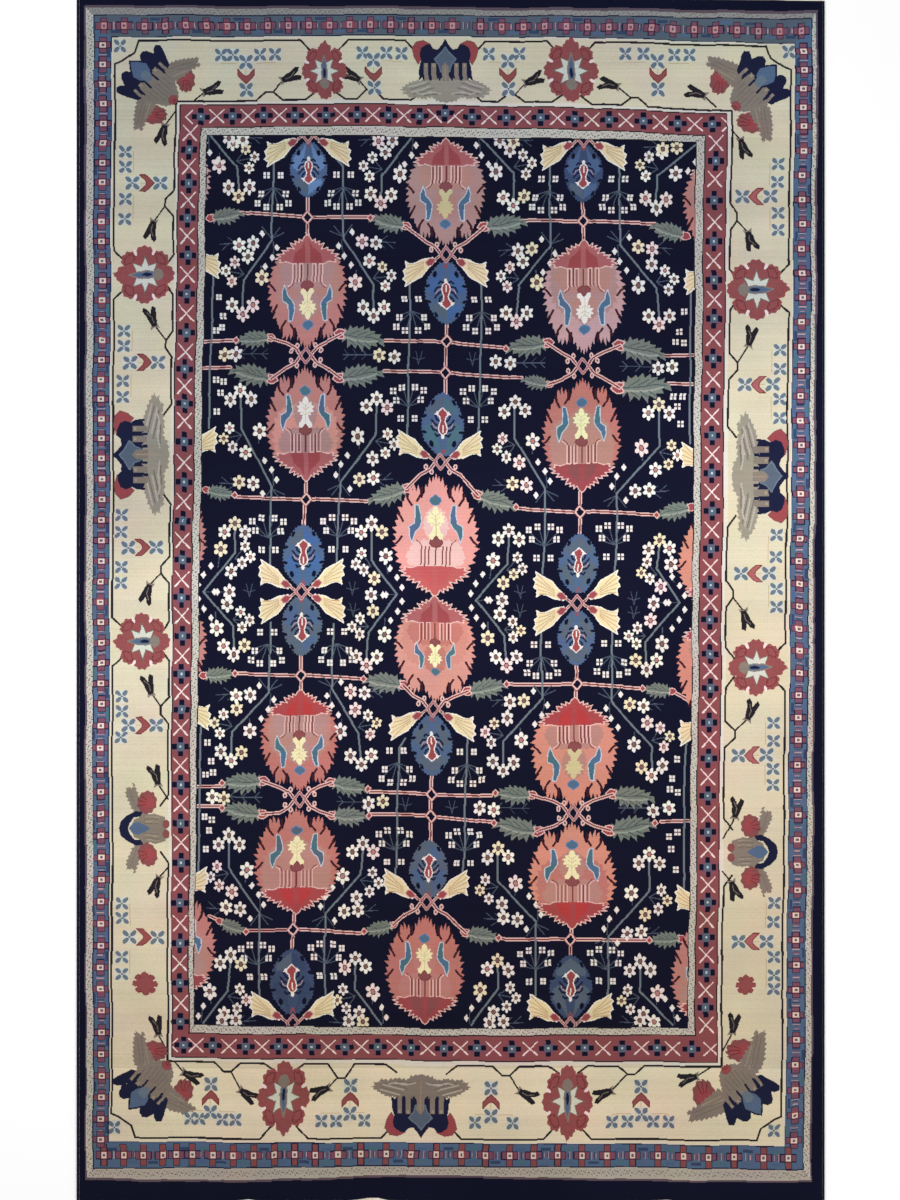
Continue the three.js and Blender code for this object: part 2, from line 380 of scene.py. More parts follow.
FRAMES = {
    "plum": Frame((84.3, 5.6), (818.6, 11), (85.5, 1180), (811.6, 1182), (-1.5, 0, -1.6, -0.4), -2.4),
    "dots": Frame((86.6, 8), (816.4, 14), (86.8, 1177.6), (810, 1180), (-1.5, 0, -1.6, -0.4), -2.4),
    "guard": Frame((94.5, 15.5), (812.5, 19), (93.5, 1169), (803.5, 1169.5), (-2, 0.5, -3, -1)),
    "ivory": Frame((111.4, 37.5), (795.5, 43.5), (109, 1142.5), (785.5, 1146), (-4.5, 0, -1, -1)),
    "outer": Frame((115, 40.8), (791, 46.4), (111.8, 1138), (781, 1140), (-3, 0, 0, -0.7)),
    "inner": Frame((175.6, 101.5), (732, 111), (167.5, 1061), (721, 1066), (-6, 0, 2, -2)),
    "pale": Frame((177.4, 103), (729.6, 112), (169.4, 1059.6), (719, 1064), (-5, 0, 1, -2.5)),
    "rose": Frame((179.6, 104.6), (727, 113.8), (171.8, 1057), (716.6, 1062), (-4, 0, 1, -3)),
    "inside": Frame((200.5, 127), (704.5, 135), (188.5, 1033), (694.7, 1035), (-4, 0, 1.5, -2.5)),
    "field": Frame((207, 134.5), (695.7, 141.5), (193.5, 1024.5), (687.8, 1027.5), (-1, 0.9, 2, -0.9)),
}
SIDES = {"top": (0, 1), "right": (-1, 0), "bottom": (0, -1), "left": (1, 0)}
TURNS = {"top": 0, "right": 90, "bottom": 180, "left": 270}


def band(outer, inner, dye):
    """The ring between two frames."""
    a, b = FRAMES[outer].outline, FRAMES[inner].outline
    fill(HERE, np.concatenate([a, a[:1], b, b[:1]]), dye)


def side_band(outer, inner, side, dye):
    """One side of the ring between two frames, mitred at its ends."""
    fill(HERE, np.concatenate([FRAMES[outer].sides[side], FRAMES[inner].sides[side][::-1]]), dye)


def between(first, second, side, s):
    (ax, ay), (bx, by) = FRAMES[first].at(side, s), FRAMES[second].at(side, s)
    return (ax + bx) / 2, (ay + by) / 2


def spread(*stops):
    """Places along a side: stops at known places, with a number of even steps between each two."""
    places = [stops[0]]
    for steps, stop in zip(stops[1::2], stops[2::2]):
        start = places[-1]
        places += [start + (stop - start) * (i + 1) / steps for i in range(steps)]
    return places


def speckle(outer, inner, dye):
    """Fine dark specks strewn along a light stripe."""
    for side, (dx, dy) in SIDES.items():
        along = ALONG[side]
        run = FRAMES[outer].sides[side][:, along]
        for i, s in enumerate(np.arange(run.min() + 2, run.max() - 2, 1.2)):
            x, y = between(outer, inner, side, s)
            shift = (-2.1, 0.7, -0.6, 2.2)[i % 4] + 0.7 * math.sin(i * 0.9)
            bar(HERE, x + dx * shift, y + dy * shift, 0.9 + 0.6 * (i % 3 == 0), 1.2, dye)


GUARD_UNITS = {
    "top": spread(104.3, 17, 452.1, 1, 480.4, 15, 802),
    "right": spread(51.7, 4, 126.8, 15, 494, 11, 740, 16, 1140),
    "bottom": spread(104, 3, 163, 1, 176.5, 1, 192.3, 6, 315.2, 2, 360.8, 4, 462, 5, 582.5, 6, 734.7,
                     1, 764.2, 1, 788.8),
    "left": spread(45.5, 21, 458, 12, 703.7, 11, 946.3, 8, 1119.7, 1, 1140),
}


# How far the upright arms of the guard's crosses reach, on each side of the carpet.
GUARD_REACH = {"top": 7.6, "right": 7.4, "bottom": 10.6, "left": 7.4}


def guard_unit(place, side):
    reach_out = GUARD_REACH[side]
    arm_dye = "rust" if side == "bottom" else "wine"
    for wide, tall, dye in ((16.6, 8.4, "ink"), (7, 2 * reach_out + 1.2, "ink"), (15.2, 6.8, "wine"),
                            (5.4, 2 * reach_out, arm_dye), (7.4, 8.6, "ink"), (6.4, 7.4, "brick"),
                            (5.0, 6.2, "dust" if side == "top" else "pale"), (2.4, 2.8, "wine")):
        bar(place, 0, 0, wide, tall, dye)


LADDER_DYES = {"top": ("slate", "steel", "rung", "storm")}


def ladder(place, kind, side):
    """The mottled ground and the short rungs between two units of the outer guard."""
    for k, v in enumerate((-7, 6)):
        wools = LADDER_DYES.get(side, ("steel", "denim", "rung", "teal"))
        bar(place, 2 - kind % 3, v, 10, 3, wools[(kind + 2 * k) % 4])
    for i, u in enumerate((-3, -1.5, 0, 1.5, 3)):
        bar(place, u, 0, 0.8, 4.8 if i % 2 else 7.4, ("rung", "wine", "dust")[(i + kind) % 3])


def paint_outer_guard():
    band("plum", "ivory", "plum")
    band("dots", "ivory", "stripe")
    side_band("dots", "guard", "top", "ash")
    side_band("dots", "guard", "bottom", "hemp")
    speckle("dots", "guard", "speck")
    band("guard", "ivory", "guard")
    side_band("guard", "ivory", "top", "storm")
    for side, places in GUARD_UNITS.items():
        for i, s in enumerate(places):
            x, y = between("guard", "ivory", side, s)
            place = spot(x, y, 1, 1, TURNS[side])
            if i + 1 < len(places):
                gap = places[i + 1] - s
                middle = between("guard", "ivory", side, s + gap / 2)
                rung = spot(middle[0], middle[1], 1, 1, TURNS[side])
                ladder(rung, i, side)
            guard_unit(place, side)
    line(HERE, FRAMES["guard"].outline, 1.1, "ink", closed=True)
    line(HERE, FRAMES["ivory"].outline, 0.8, "ink", closed=True)


def guard_x(place, half=None):
    """An X of two tapering strokes; where half is -1 or 1, the tip of one at a corner."""
    for side in (-1, 1):
        if half:
            line(place, [(3.4 * half, -6.4 * side), (-3.4 * half, 0)], 1.3, "petal")
        else:
            line(place, [(-7.2 * side, -6.6), (7.2 * side, 6.6)], 1.1, "petal")
            line(place, [(4 * side, 3.7), (6.6 * side, 6.1)], 1.7, "petal")


def guard_cross(place):
    fill(place, [(-10.6, 0), (0, -9.6), (10.6, 0), (0, 9.6)], "wine")
    for u, v in ((0, -5.9), (0, 5.9), (-6.4, 0), (6.4, 0)):
        bar(place, u, v, 5.3, 4.9, "navy")
    bar(place, 0, 0, 8.2, 5.4, "slate")
    bar(place, 0, 0, 5.4, 7.4, "slate")
    bar(place, 0, 0, 1.9, 1.9, "mist")


# Places of the X figures along the rose guard; a cross stands midway between each two.
ROSE_XS = {
    "top": spread(216.2, 7, 434.5, 1, 455, 1, 489, 7, 729),
    "right": spread(143, 1, 179, 1, 222, 3, 338, 1, 379, 5, 567.5, 1, 602.5, 4, 739, 2, 814, 6, 1024.5),
    "bottom": spread(196, 9, 493, 3, 602.5, 1, 641, 1, 671.9, 1, 710.3),
    "left": spread(133, 2, 200, 1, 236, 3, 352, 2, 421, 1, 463, 3, 579.5, 1, 616, 1, 656, 2, 727.5, 3, 842,
                   4, 1003),
}
# Crosses of their own and the half X figures that fill the corners: place and way.
CORNER_CROSSES = [(200.3, 116.4), (183.7, 1045), (179.7, 1021.5), (444.6, 113)]
CORNER_TIPS = [(188.4, 116.9, 1), (174, 1045, 1)]


def paint_rose_guard():
    band("inner", "inside", "pale")
    band("rose", "inside", "rose")
    band("inside", "field", "stripe")
    speckle("inside", "field", "speck")
    for side, places in ROSE_XS.items():
        upright = side in ("left", "right")
        size = (0.96, 1.16) if upright else (1, 1)
        tallness = (0.92, 1.18) if upright else (1, 1)
        for s, after in zip(places, places[1:] + [None]):
            if after and after - s > 25:
                guard_cross(spot(*between("rose", "inside", side, (s + after) / 2), *tallness))
        for s in places:
            guard_x(spot(*between("rose", "inside", side, s), *size))
    for x, y in CORNER_CROSSES:
        guard_cross(spot(x, y))
    for x, y, way in CORNER_TIPS:
        guard_x(spot(x, y), half=way)
    for level in ("rose", "inside"):
        line(HERE, FRAMES[level].outline, 1.1, "black", closed=True)
    line(HERE, FRAMES["field"].outline, 0.9, "black", closed=True)


def floret(place):
    """Four slate petals, crosswise, on a lighter ground."""
    oval(place, 0, 0, 6.4, 7, "halo")
    for side in (-1, 1):
        for way in (-1, 1):
            oval(place, 3.3 * side, 3.5 * way, 3.5, 2.1, "floret", 48 * side * way)
    oval(place, 0, 0, 0.9, 1.2, "steel")


def chevron(place, dye):
    """A V whose tip points away from the carpet's edge."""
    edged(place, both([(0, 3.2), (2.4, 2.2), (8.2, -4), (8.4, 2), (4.6, 6.6), (0, 11)]),
          dye, "madder", 0.9)


def rosette(place, star=True):
    """A ring of eight scalloped domes round a pale star, its tip at v = -30."""
    ring = []
    for i in range(128):
        angle = 2 * math.pi * i / 128
        dome = abs(math.cos(4 * angle)) ** 0.55
        far = 22.4 + 5.8 * dome + 0.8 * math.sin(29 * angle) + (2.4 if i in (0, 1, 127) else 0)
        ring.append((far * math.sin(angle), -far * math.cos(angle)))
    fill(place, ring, "ring")
    for i in range(8):
        dome = place @ spot(turn=45 * i)
        edged(dome, toothed([(-7, -21), (-3, -24.4), (3, -24.4), (7, -20), (0, -17)], 3, 1.6),
              "ring", "madder" if i % 2 else "rust", 0.8)
        notch = place @ spot(turn=45 * i + 22.5)
        if i in (1, 2, 5, 6):
            oval(notch, 0, -23.4, 1.5, 3.2, "petal")
    if not star:
        return
    for side in (-1, 1):
        for lean, far in ((0, 18.4), (-46, 17), (46, 16)):
            petal = place @ spot(turn=90 * side + lean)
            edged(petal, [(-2, -2), (-3.8, -8), (-2, -12), (0, -far), (2, -12), (3.8, -8), (2, -2)],
                  "halo", "umber", 0.8)
    oval(place, 0, 0, 8.4, 9.4, "halo")
    edged(place, both([(0, -15.6), (3, -6), (3.6, 3), (2.4, 9), (0, 17.6)]), "steel", "taupe", 1.4)
    fill(place, both([(0, 7), (3.4, 9), (6.6, 12), (4, 16.4), (0, 18)]), "taupe")
    oval(place, 0, 2, 1.6, 5, "ink")


LOTUS_CREST = [
    (0, -36.5), (3, -31), (7.4, -25.4), (12, -26.4), (15, -31), (19, -30.4), (24, -27), (25.6, -21),
    (24.2, -14), (26, -8), (27, 5.4), (23.6, 2), (22, 6),
]
LOTUS_FLOWER = [(13, -24), (15, -31), (22, -34.4), (29, -33), (33, -27), (31, -18), (27, -11), (24, -16)]
LOTUS_WING = [
    (0, 3), (22, 4.6), (31, 5.4), (38, 9), (47, 15), (41, 16), (45, 19.4), (37, 19), (39, 22.6),
    (30, 21.4), (22, 23.6), (14, 21.6), (10, 26), (0, 27.4),
]


def fan(place, x, y, rx, ry, turn=0.0):
    """A dull red flower with a frilled edge and a lighter base."""
    local = place @ spot(x, y, rx, ry, turn)
    edge = [(math.sin(a) * r, -math.cos(a) * r) for i, a in enumerate(np.linspace(0, 2 * math.pi, 40))
            for r in [1.0 + 0.05 * (-1) ** (i // 2)]]
    fill(local, edge, "rust")
    fill(local, [(-0.72, 0.1), (0, -0.8), (0.72, 0.1), (0, 0.9)], "brick")
    for u in (-0.5, 0.0, 0.5):
        line(local, [(u, -0.9), (u * 0.4, -0.1)], 1.0 / max(rx, ry), "madder")


def feathers(place, path, dye="taupe"):
    """A wing with a feathered edge."""
    fill(place, toothed(path, 4.2, 2.2), dye)


def fingers(place, across, top, foot):
    for u, wide in across:
        bar(place, u, (top + foot) / 2, wide, foot - top, "taupe")
        bar(place, u, top + 2.4, wide * 0.45, 3.0, "flax")


def lotus(place, rise, depth, dye):
    """A lotus that points at the carpet's edge, up in its own frame."""
    wings = place @ spot(0, rise, 1, depth)
    for half in halves(place):
        edged(half, LOTUS_FLOWER, "brick", "rust", 1.0)
    fill(place, both(LOTUS_CREST), "ink")
    for half in halves(wings):
        feathers(half, LOTUS_WING, dye)
        for (u, v), (u1, v1) in (((16, 8), (36, 14)), ((12, 13), (33, 18.6)), ((8, 19), (22, 20))):
            line(half, [(u, v), (u1, v1)], 1.0, "umber")
            line(half, [(u + 4, v - 1.4), (u1 + 2, v1 - 2)], 1.2, "hemp")
    for half in halves(place):
        fingers(half, ((11.4, 4.6), (19.2, 4.4)), -12, 5)
        bar(half, 15.2, 2.6, 2.2, 6, "ink")
        bar(half, 6.2, 2.6, 2.2, 6, "ink")
    diamond = both([(0, -28), (3.8, -22.6), (10.8, -16), (6, -9.6), (4.4, -3)])
    edged(place, diamond, "slate", "floret", 1.2)
    fill(place, both([(0, -13), (3.6, -8), (3.4, 6)]), "taupe")
    line(place, [(0, -8), (0, 20)], 0.9, "flax")
    for half in halves(wings):
        line(half, [(5, 19), (16, 16.6), (24, 18.8), (30, 17)], 1.2, "hemp")


def side_lotus(place):
    """The smaller lotus of the long borders: a dark crescent, a body and two flowers."""
    for half in halves(place):
        feathers(half, [(9, -3), (15, -10), (24, -15), (36, -20), (42, -17), (39, -13), (46, -11), (30, -6),
                        (20, 2), (12, 4)])
        line(half, [(20, -9), (38, -15)], 0.8, "umber")
        fan(half, 26, 2, 11.6, 9.6, 12)
    fill(place, both([(0, -14), (9, -11), (13, 0), (15, 10), (12, 20), (0, 21)]), "taupe")
    crest = [(0, -26), (7, -24.4), (13, -18), (17.4, -9), (16, -2), (11.6, -5), (11, -11), (5, -15.4),
             (0, -17)]
    fill(place, both(crest), "ink")
    fill(place, both([(0, -16.4), (5.4, -12), (6.4, -6), (3, 1), (0, 5)]), "steel")
    for half in halves(place):
        for u in (4.6, 9.2):
            line(half, [(u, -1), (u + 0.8, 13)], 1.1, "umber")
            line(half, [(u + 2, 1), (u + 2.6, 14)], 0.9, "flax")
        oval(half, 5, 21, 4.4, 3.6, "rust")


CORNER_LOBES = [
    [(5, -26), (9, -29), (12, -33), (17, -34), (21, -31), (23, -26), (26, -20), (15, -16), (8, -20)],
    [(15, -6), (19, -14), (22, -20), (27, -26), (32, -28), (36, -24), (34, -17), (31, -11), (27, -2),
     (20, 1)],
]


def corner_lotus(place, wings):
    """The lotus of a corner, pointing at it: up in its own frame."""
    for half in halves(wings):
        fan(half, 24, 20, 9.4, 13, -140)
        feathers(half, [(12, -2), (26, -2), (38, 6), (50, 16), (43, 18), (46, 23), (34, 18), (20, 16),
                        (12, 14)])
        for v in (4, 8):
            line(half, [(20, v - 2), (42, v + 10)], 0.9, "umber")
            line(half, [(16, v + 1), (32, v + 8)], 0.8, "flax")
    fill(place, both(toothed([(0, -12), (20, -9), (23, 4), (17, 13), (12, 24), (7, 29), (0, 30)], 5, 1.6)),
         "taupe")
    for half in halves(place):
        for u, v in ((2, 24), (6.6, 20), (11.4, 14), (16, 8)):
            line(half, [(u, 2), (u, v)], 1.1, "umber")
    for half in halves(place):
        fill(half, [(0, -12), (0, -24), (12, -24), (21, -18), (25, -12), (24, -5), (12, -9)], "ink")
        for lobe in CORNER_LOBES:
            fill(half, lobe, "ink")
        fingers(half, ((0, 6), (11.4, 5.6), (20.4, 3.4)), -12, 1)
        for u in (5.6, 16.2):
            line(half, [(u, -9), (u + 0.4, 0)], 2.3, "ink")
    edged(place, both([(0, -37), (6, -30.6), (11.4, -22), (9, -14), (4.4, -8)]), "steel", "ink", 1.8)
    fill(place, both([(0, -19), (5, -17), (5, -9), (3, -6), (0, -5)]), "floret")
    fan(place, 0, 27, 6, 5, 180)


def swallow_tail(side, root, tip):
    """A slender dark bud with two tails, which bends from its short stem to lie along the border."""
    across, down = tip[0] - root[0], tip[1] - root[1]
    if ALONG[side]:
        across *= 0.36
    else:
        down *= 0.36
    line(HERE, [root, tip], 1.6, "black")
    place = spot(tip[0], tip[1], 0.92, 0.92, math.degrees(math.atan2(down, across)))
    calyx = [(-4, -5.6), (0, -4), (3.4, -2.4), (3.4, 2.4), (0, 3.6), (-4.4, 5), (-2.4, 1.6), (-2.4, -1.6)]
    fill(place, calyx, "taupe")
    fill(place, [(-1, -2.6), (5, -4.6), (11, -5.4), (18, -8.4), (21.6, -6.4), (18.6, -2.6), (13, -0.2),
                 (18, 1.6), (21, 3.4), (18, 7), (11, 5.4), (5, 4.4), (-1, 2.4)], "black")
    line(place, [(3, 0), (9, 0.2), (15.4, -4)], 0.9, "umber")


# Border flowers by side: rosettes, lotuses, and the middle of each group of florets.
ROSETTES = [
    (324.5, 71, "top", 22.4, 29), (571.7, 71, "top", 27, 32), (144.5, 275, "left", 29, 30),
    (142, 642, "left", 28, 28), (756.5, 289, "right", 30, 31), (756, 667, "right", 28, 29),
    (284, 1097, "bottom", 26, 37), (567.5, 1102, "bottom", 25, 37),
]
# The lotuses: place, side, width, height, and the rise, depth and dye of their wings.
LOTUSES = [
    (445.8, 75, "top", 1.0, 1.0, 0, 1, "wing"), (421, 1102, "bottom", 1.08, 1.0, 0, 1, "taupe"),
    (143, 455, "left", 1.34, 0.85, -5, 1.3, "wing"), (758, 476, "right", 1.42, 0.85, -5, 1.3, "wing"),
]
SIDE_LOTUSES = [(145, 829, "left"), (752, 852, "right")]
# The corners' lotuses: place, turn, how far the wings turn on from there, and size.
CORNER_LOTUSES = [
    (154.5, 83.5, -48, 0, 1.0), (753, 88.5, 44, 10, 1.08), (151, 1084, -140, 15, 1.06),
    (741, 1088, 142, -12, 1.2),
]
CORNER_FLORETS = [(120, 46.5), (789, 52), (115, 1128), (774.5, 1130)]
SMALL_ROSETTES = [(145.5, 984, 12.5, 11.5), (746, 985, 10, 10)]
FLORET_GROUPS = {
    "top": ((246, 75, (-25, -13, 14, 29)), (374, 74, (-11, 13, 28)), (508.5, 74, (-19, 11.5)),
            (658, 75, (-32, -14, 17, 32))),
    "left": ((183, 146, (-31, -16, 16, 36)), (363, 144, (-32, -17, 18, 34)),
             (548, 142, (-33, -16, 19, 35)), (726, 142, (-29, -14, 12)), (937.6, 143, (-33.6, -19, 20, 37))),
    "right": ((196, 757.5, (-32, -14, 17, 34)), (384, 759.5, (-34, -15, 15, 34)),
              (573, 756, (-38, -16, 16, 34)), (755, 753, (-32, -14, 14, 30)),
              (941.5, 753.5, (-38.5, -19.5, 15.5, 34, 47.5))),
    "bottom": ((211, 1098.6, (-20, -11, 12, 25)), (350.6, 1100.5, (-28.6, -14, 14.4)),
               (491, 1102, (-16, 21.6)), (641, 1101.6, (-29.4, -14, 12, 27.5))),
}
# Swallow-tail buds: side, the notch of the inner line (or its plain root) and the bud.
NOTCHES = {
    "top": (
        (272.6, 92, 283, 80, 1), (366, 90, 359, 80, 1), (515, 94, 526, 83, 1), (631, 98.5, 617, 87, 1),
        (193, 101, 204, 92, 0), (716, 107, 704, 95, 0),
    ),
    "left": (
        (165.5, 207, 154, 222, 1), (165.5, 341, 154, 326, 1), (161, 574, 150, 586, 1),
        (160, 707, 151, 694, 1), (175, 111, 164, 126, 0), (168, 799, 158, 784, 0),
        (167, 868, 158, 878, 0), (166, 1049, 158, 1034, 0),
    ),
    "right": (
        (737, 220, 748, 232, 1), (737.6, 362, 749, 344, 1), (733, 597, 744, 611, 1),
        (735, 730, 748, 718, 1), (731, 130, 740, 140, 0), (723, 838, 735, 816, 0),
        (722, 871, 731, 882, 0), (721, 1052, 732, 1032, 0),
    ),
    "bottom": (
        (231, 1071, 241, 1090, 1), (337, 1078, 328, 1088, 1), (509, 1075, 520, 1091, 1),
        (627, 1075, 611, 1091, 1), (175, 1062, 184, 1073, 0), (712, 1066, 696, 1076, 0),
    ),
}
CORNER_CUT = 24
PANEL_LINE_WIDTH = 2
# How far along its side a panel line slopes into a gap.
GAP_SLOPE = 11
# Below this level the ivory border is filled with a lighter ivory, chalk.
CHALK_BELOW_Y = 1068.5


def panel_line(level, side, gaps, dip):
    """A dark line along a side that turns in at each gap, dipping towards the flower there."""
    frame = FRAMES[level]
    along = ALONG[side]
    run = frame.sides[side]
    inset = CORNER_CUT if level == "outer" else 0
    low, high = run[:, along].min() + inset, run[:, along].max() - inset
    out = np.array(SIDES[side], float)
    start, lead = low, []
    for middle, half in sorted(gaps) + [(high + 1000, 1000)]:
        stop = min(middle - half, high)
        path = lead + [frame.at(side, s) for s in np.linspace(start, stop, 24)]
        if middle <= high:
            path.append(tuple(np.array(frame.at(side, middle - half + GAP_SLOPE)) + out * dip))
            lead = [tuple(np.array(frame.at(side, middle + half - GAP_SLOPE)) + out * dip)]
        line(HERE, path, PANEL_LINE_WIDTH, "black")
        start = middle + half


def paint_main_border():
    band("ivory", "inner", "ivory")
    chalk_ends = [FRAMES["ivory"].at("right", CHALK_BELOW_Y), FRAMES["ivory"].at("left", CHALK_BELOW_Y)]
    fill(HERE, np.concatenate([chalk_ends[::-1], FRAMES["ivory"].sides["bottom"]]), "chalk")
    line(HERE, FRAMES["ivory"].outline, 3.0, "pale", closed=True)
    for side in SIDES:
        flowers = [(x, y, 24.0) for x, y, where, *_ in ROSETTES if where == side]
        flowers += [(x, y, 40.0) for x, y, where, *_ in LOTUSES if where == side and not ALONG[side]]
        along = ALONG[side]
        gaps = [((x, y)[along], half) for x, y, half in flowers]
        panel_line("outer", side, gaps, 12)
        tight = [(s, half - 4) for s, half in gaps]
        tight += [(y, 34.0) for x, y, where in SIDE_LOTUSES if where == side]
        tight += [(y, 50.0) for x, y, where, *_ in LOTUSES if where == side and along]
        panel_line("inner", side, tight, -8)
    for cx, cy, *_ in CORNER_LOTUSES:
        corner_chamfer(cx, cy)
    for side, rows in NOTCHES.items():
        for x, y, bud_x, bud_y, peaked in rows:
            if peaked:
                peak(side, (x, y), (bud_x, bud_y))
            swallow_tail(side, (x, y), (bud_x, bud_y))
    for x, y, side, rx, ry in ROSETTES:
        rosette(spot(x, y, rx / 28, ry / 29, TURNS[side]))
    for x, y, rx, ry in SMALL_ROSETTES:
        rosette(spot(x, y, rx / 28, ry / 28), star=False)
    for x, y, side, wide, tall, *wings in LOTUSES:
        lotus(spot(x, y, 1, 1, TURNS[side]) @ spot(0, 0, wide, tall), *wings)
    for x, y, side in SIDE_LOTUSES:
        side_lotus(spot(x, y, 1, 1, TURNS[side]))
    for x, y, turn, lean, size in CORNER_LOTUSES:
        corner_lotus(spot(x, y, 0.9, 0.9, turn), spot(x, y, size, size, turn + lean))
    for x, y in CORNER_FLORETS:
        floret(spot(x, y))
    for side, groups in FLORET_GROUPS.items():
        for a, b, offsets in groups:
            x, y = np.roll((a, b), ALONG[side])
            floret_group(spot(x, y, 1, 1, TURNS[side]), side, offsets)


def corner_chamfer(cx, cy):
    """The outer line's cut across a corner, which is where the corner lotus points."""
    outer = FRAMES["outer"]
    x = outer.at("left" if cx < MIDDLE_X else "right", cy)[0]
    y = outer.at("top" if cy < MIDDLE_Y else "bottom", cx)[1]
    corner = spot(x, y, math.copysign(1, MIDDLE_X - cx), math.copysign(1, MIDDLE_Y - cy))
    line(corner, [(0, CORNER_CUT), (7, 21), (20, 12), (CORNER_CUT, 0)], PANEL_LINE_WIDTH, "black")


def peak(side, notch, bud):
    """Where the inner line steps out to a notch and back, in place of its straight run."""
    frame = FRAMES["inner"]
    along = ALONG[side]
    s = notch[along]
    way = math.copysign(1, bud[along] - s)
    straight = list(notch)
    straight[along] -= 7.3 * way
    before, after = frame.at(side, s - 17 * way), frame.at(side, s + 9.6 * way)
    clear = [frame.at(side, s + u * way) for u in np.linspace(-15.6, 8.2, 9)]
    line(HERE, clear, 3, "ivory")
    line(HERE, [before, straight, notch, after], PANEL_LINE_WIDTH, "black")


def floret_group(place, side, offsets):
    """A row of florets near the carpet's edge, and one on either side of a chevron."""
    if side in ("left", "bottom"):
        offsets = [-u for u in offsets]
    for u in (min(offsets), max(offsets)):
        line(place, [(u, -12.5), (0.35 * u, -12.5)], 0.6, "tan")
    line(place, [(0, -12), (0, 1)], 0.6, "tan")
    for u in offsets:
        floret(place @ spot(u, -20.6))
    for v in (-13.6, 14.4):
        floret(place @ spot(0, v, 1.1))
    chevron(place @ spot(0, -2.6), "dusky" if side == "right" else "ring")


def paint_chart():
    paint_field()
    paint_rose_guard()
    paint_main_border()
    paint_outer_guard()


# Crossings between these places along the carpet's width have arms, which reach buds this near.
ARMS_FROM, ARMS_TO = 200, 700
ARM_WIDE, ARM_TALL = 46, 34
STEM_WIDTH = 1.9


def long_leaf(bud_x, bud_y, tip_x, tip_y):
    """A leaf from its bud to its tip, its broader side down."""
    across, down = tip_x - bud_x, tip_y - bud_y
    size = math.hypot(across, down) / LEAF_TOP[-1][0]
    turn = math.degrees(math.atan2(down, across))
    serrated_leaf(spot(bud_x, bud_y, size, math.copysign(size, across), turn))


def arm(x, y, bud_x, bud_y):
    """The double line from a crossing to a bud, with a small ring on either side where it bends."""
    side = math.copysign(1, bud_x - x)
    way = math.copysign(1, bud_y - y)
    knee = (x + 10.6 * side, y + 7.6 * way)
    mid = (x + 20 * side, y + 12.6 * way)
    double_line([(x + 5 * side, y), knee, mid, (bud_x, bud_y)])
    for u, v in ((14.8, 4.8), (9, 10)):
        oval(HERE, x + u * side, y + v * way, 2.2, 2.9, "pink")
        oval(HERE, x + u * side, y + v * way, 0.9, 1.4, "plum")


def crossing(x, y, tulip_ways):
    """A crossing of the lattice, with its tulips and its arms to the buds of the leaves around it."""
    for way in tulip_ways:
        for side in (-1, 1):
            double_line([(x + 5 * side, y), (x + 12 * side, y + 6 * way)], width=2.6)
            tulip(spot(x + 4 * side, y, 1.03 * side, 1.05 * way))
    for bud_x, bud_y, *_ in LEAVES:
        if ARMS_FROM < x < ARMS_TO and abs(bud_x - x) < ARM_WIDE and abs(bud_y - y) < ARM_TALL:
            arm(x, y, bud_x, bud_y)
    lattice = [(0, -7.4), (5.8, 0), (0, 7.4), (-5.8, 0)]
    line(spot(x, y), lattice, 2.8, "dust", closed=True)
    line(spot(x, y), lattice, 0.9, "brick", closed=True)
    fill(spot(x, y), [(0, -4), (3, 0), (0, 4), (-3, 0)], "navy")


def twig(path, width=0.9):
    line(HERE, path, width, "twig")


# Blossoms round the knee of a branch: alone, and the upper and the lower of two that share a start.
KNEE_FLOWERS = [
    ((-9, -18), (-18, -9.5), (-12, 1), (4, -23.5), (18, -2)),
    ((-7, -10), (-15.5, -4), (-10, 6.8), (3.5, -18.5), (14.3, 3.7)),
    ((-8, -14), (-16.7, -5.8), (-9, 1.6), (5, -21.5), (16.5, 2.4)),
]
JOINED = (595, 600, 591.8, 603.3)


def spray(start, knee, end, *stem):
    """A flowering branch that bends round a palmette, and the stem that it grows from."""
    side = math.copysign(1, start[0] - knee[0])
    way = math.copysign(1, end[1] - start[1])
    joined = (1 if way < 0 else 2) if start[1] in JOINED else 0

    def near(point, u, v):
        return point[0] + side * u, point[1] + way * v

    small = KNEE_FLOWERS[joined]
    for u, v in small[:3]:
        twig([near(knee, 0, -6), near(knee, u, v)])
    twig([near(knee, 17, -14), near(knee, *small[4])])
    if not joined:
        twig([near(start, -18.5, 1), near(start, -52, 3)])
        for reach_out, rise in ((-44, -4), (-41, 8), (-50, 9)):
            twig([near(start, reach_out + 8, 2), near(start, reach_out, rise)], 0.7)
        twig([near(start, 2, 1), near(start, 1, 17)])
    if stem:
        for u, v in ((-9, -14), (9, -13), (13, -8)):
            twig([near(start, 0, -2), near(start, u, v)])
    line(HERE, [*stem, start, knee, end], STEM_WIDTH, "stem")
    for u, v in ((0, 7.6), (-10.4, -1.6), (10.4, -1)):
        blossom(*near(end, u, v))
    for u, v in small[:3]:
        blossom(*near(knee, u, v), 0.8)
    blossom(*near(knee, *small[3]))
    blossom(*near(knee, *small[4]), 1.1)
    if not joined:
        for u, v in ((-18.5, 2.5), (-32.5, 4)):
            blossom(*near(start, u, v))
    elif way < 0:
        twig([start, near(start, -22, 0)])
        blossom(*near(start, -26, 0))
        petal_bud(*near(start, -11, 0))
        petal_bud(*near(start, -14, 0))
    for u, v in ((5, 7), (0, 17), (-7, 26)) if joined else ((-9, -7), (5, 7), (0, 17), (-7, 26)):
        petal_bud(*near(start, u, v))


def bough(x, y, way):
    """Small flowers on both sides of an upright stem, opening towards way."""
    for side in (-1, 1):
        small_flower(x + 7 * side, y)
        for u, v in ((12.3, 18.6), (15.4, 28), (6.6, 31.4)):
            twig([(x, y + 12 * way), (x + side * (u - 2), y + way * (v - 3))])
            small_flower(x + side * u, y + way * v)


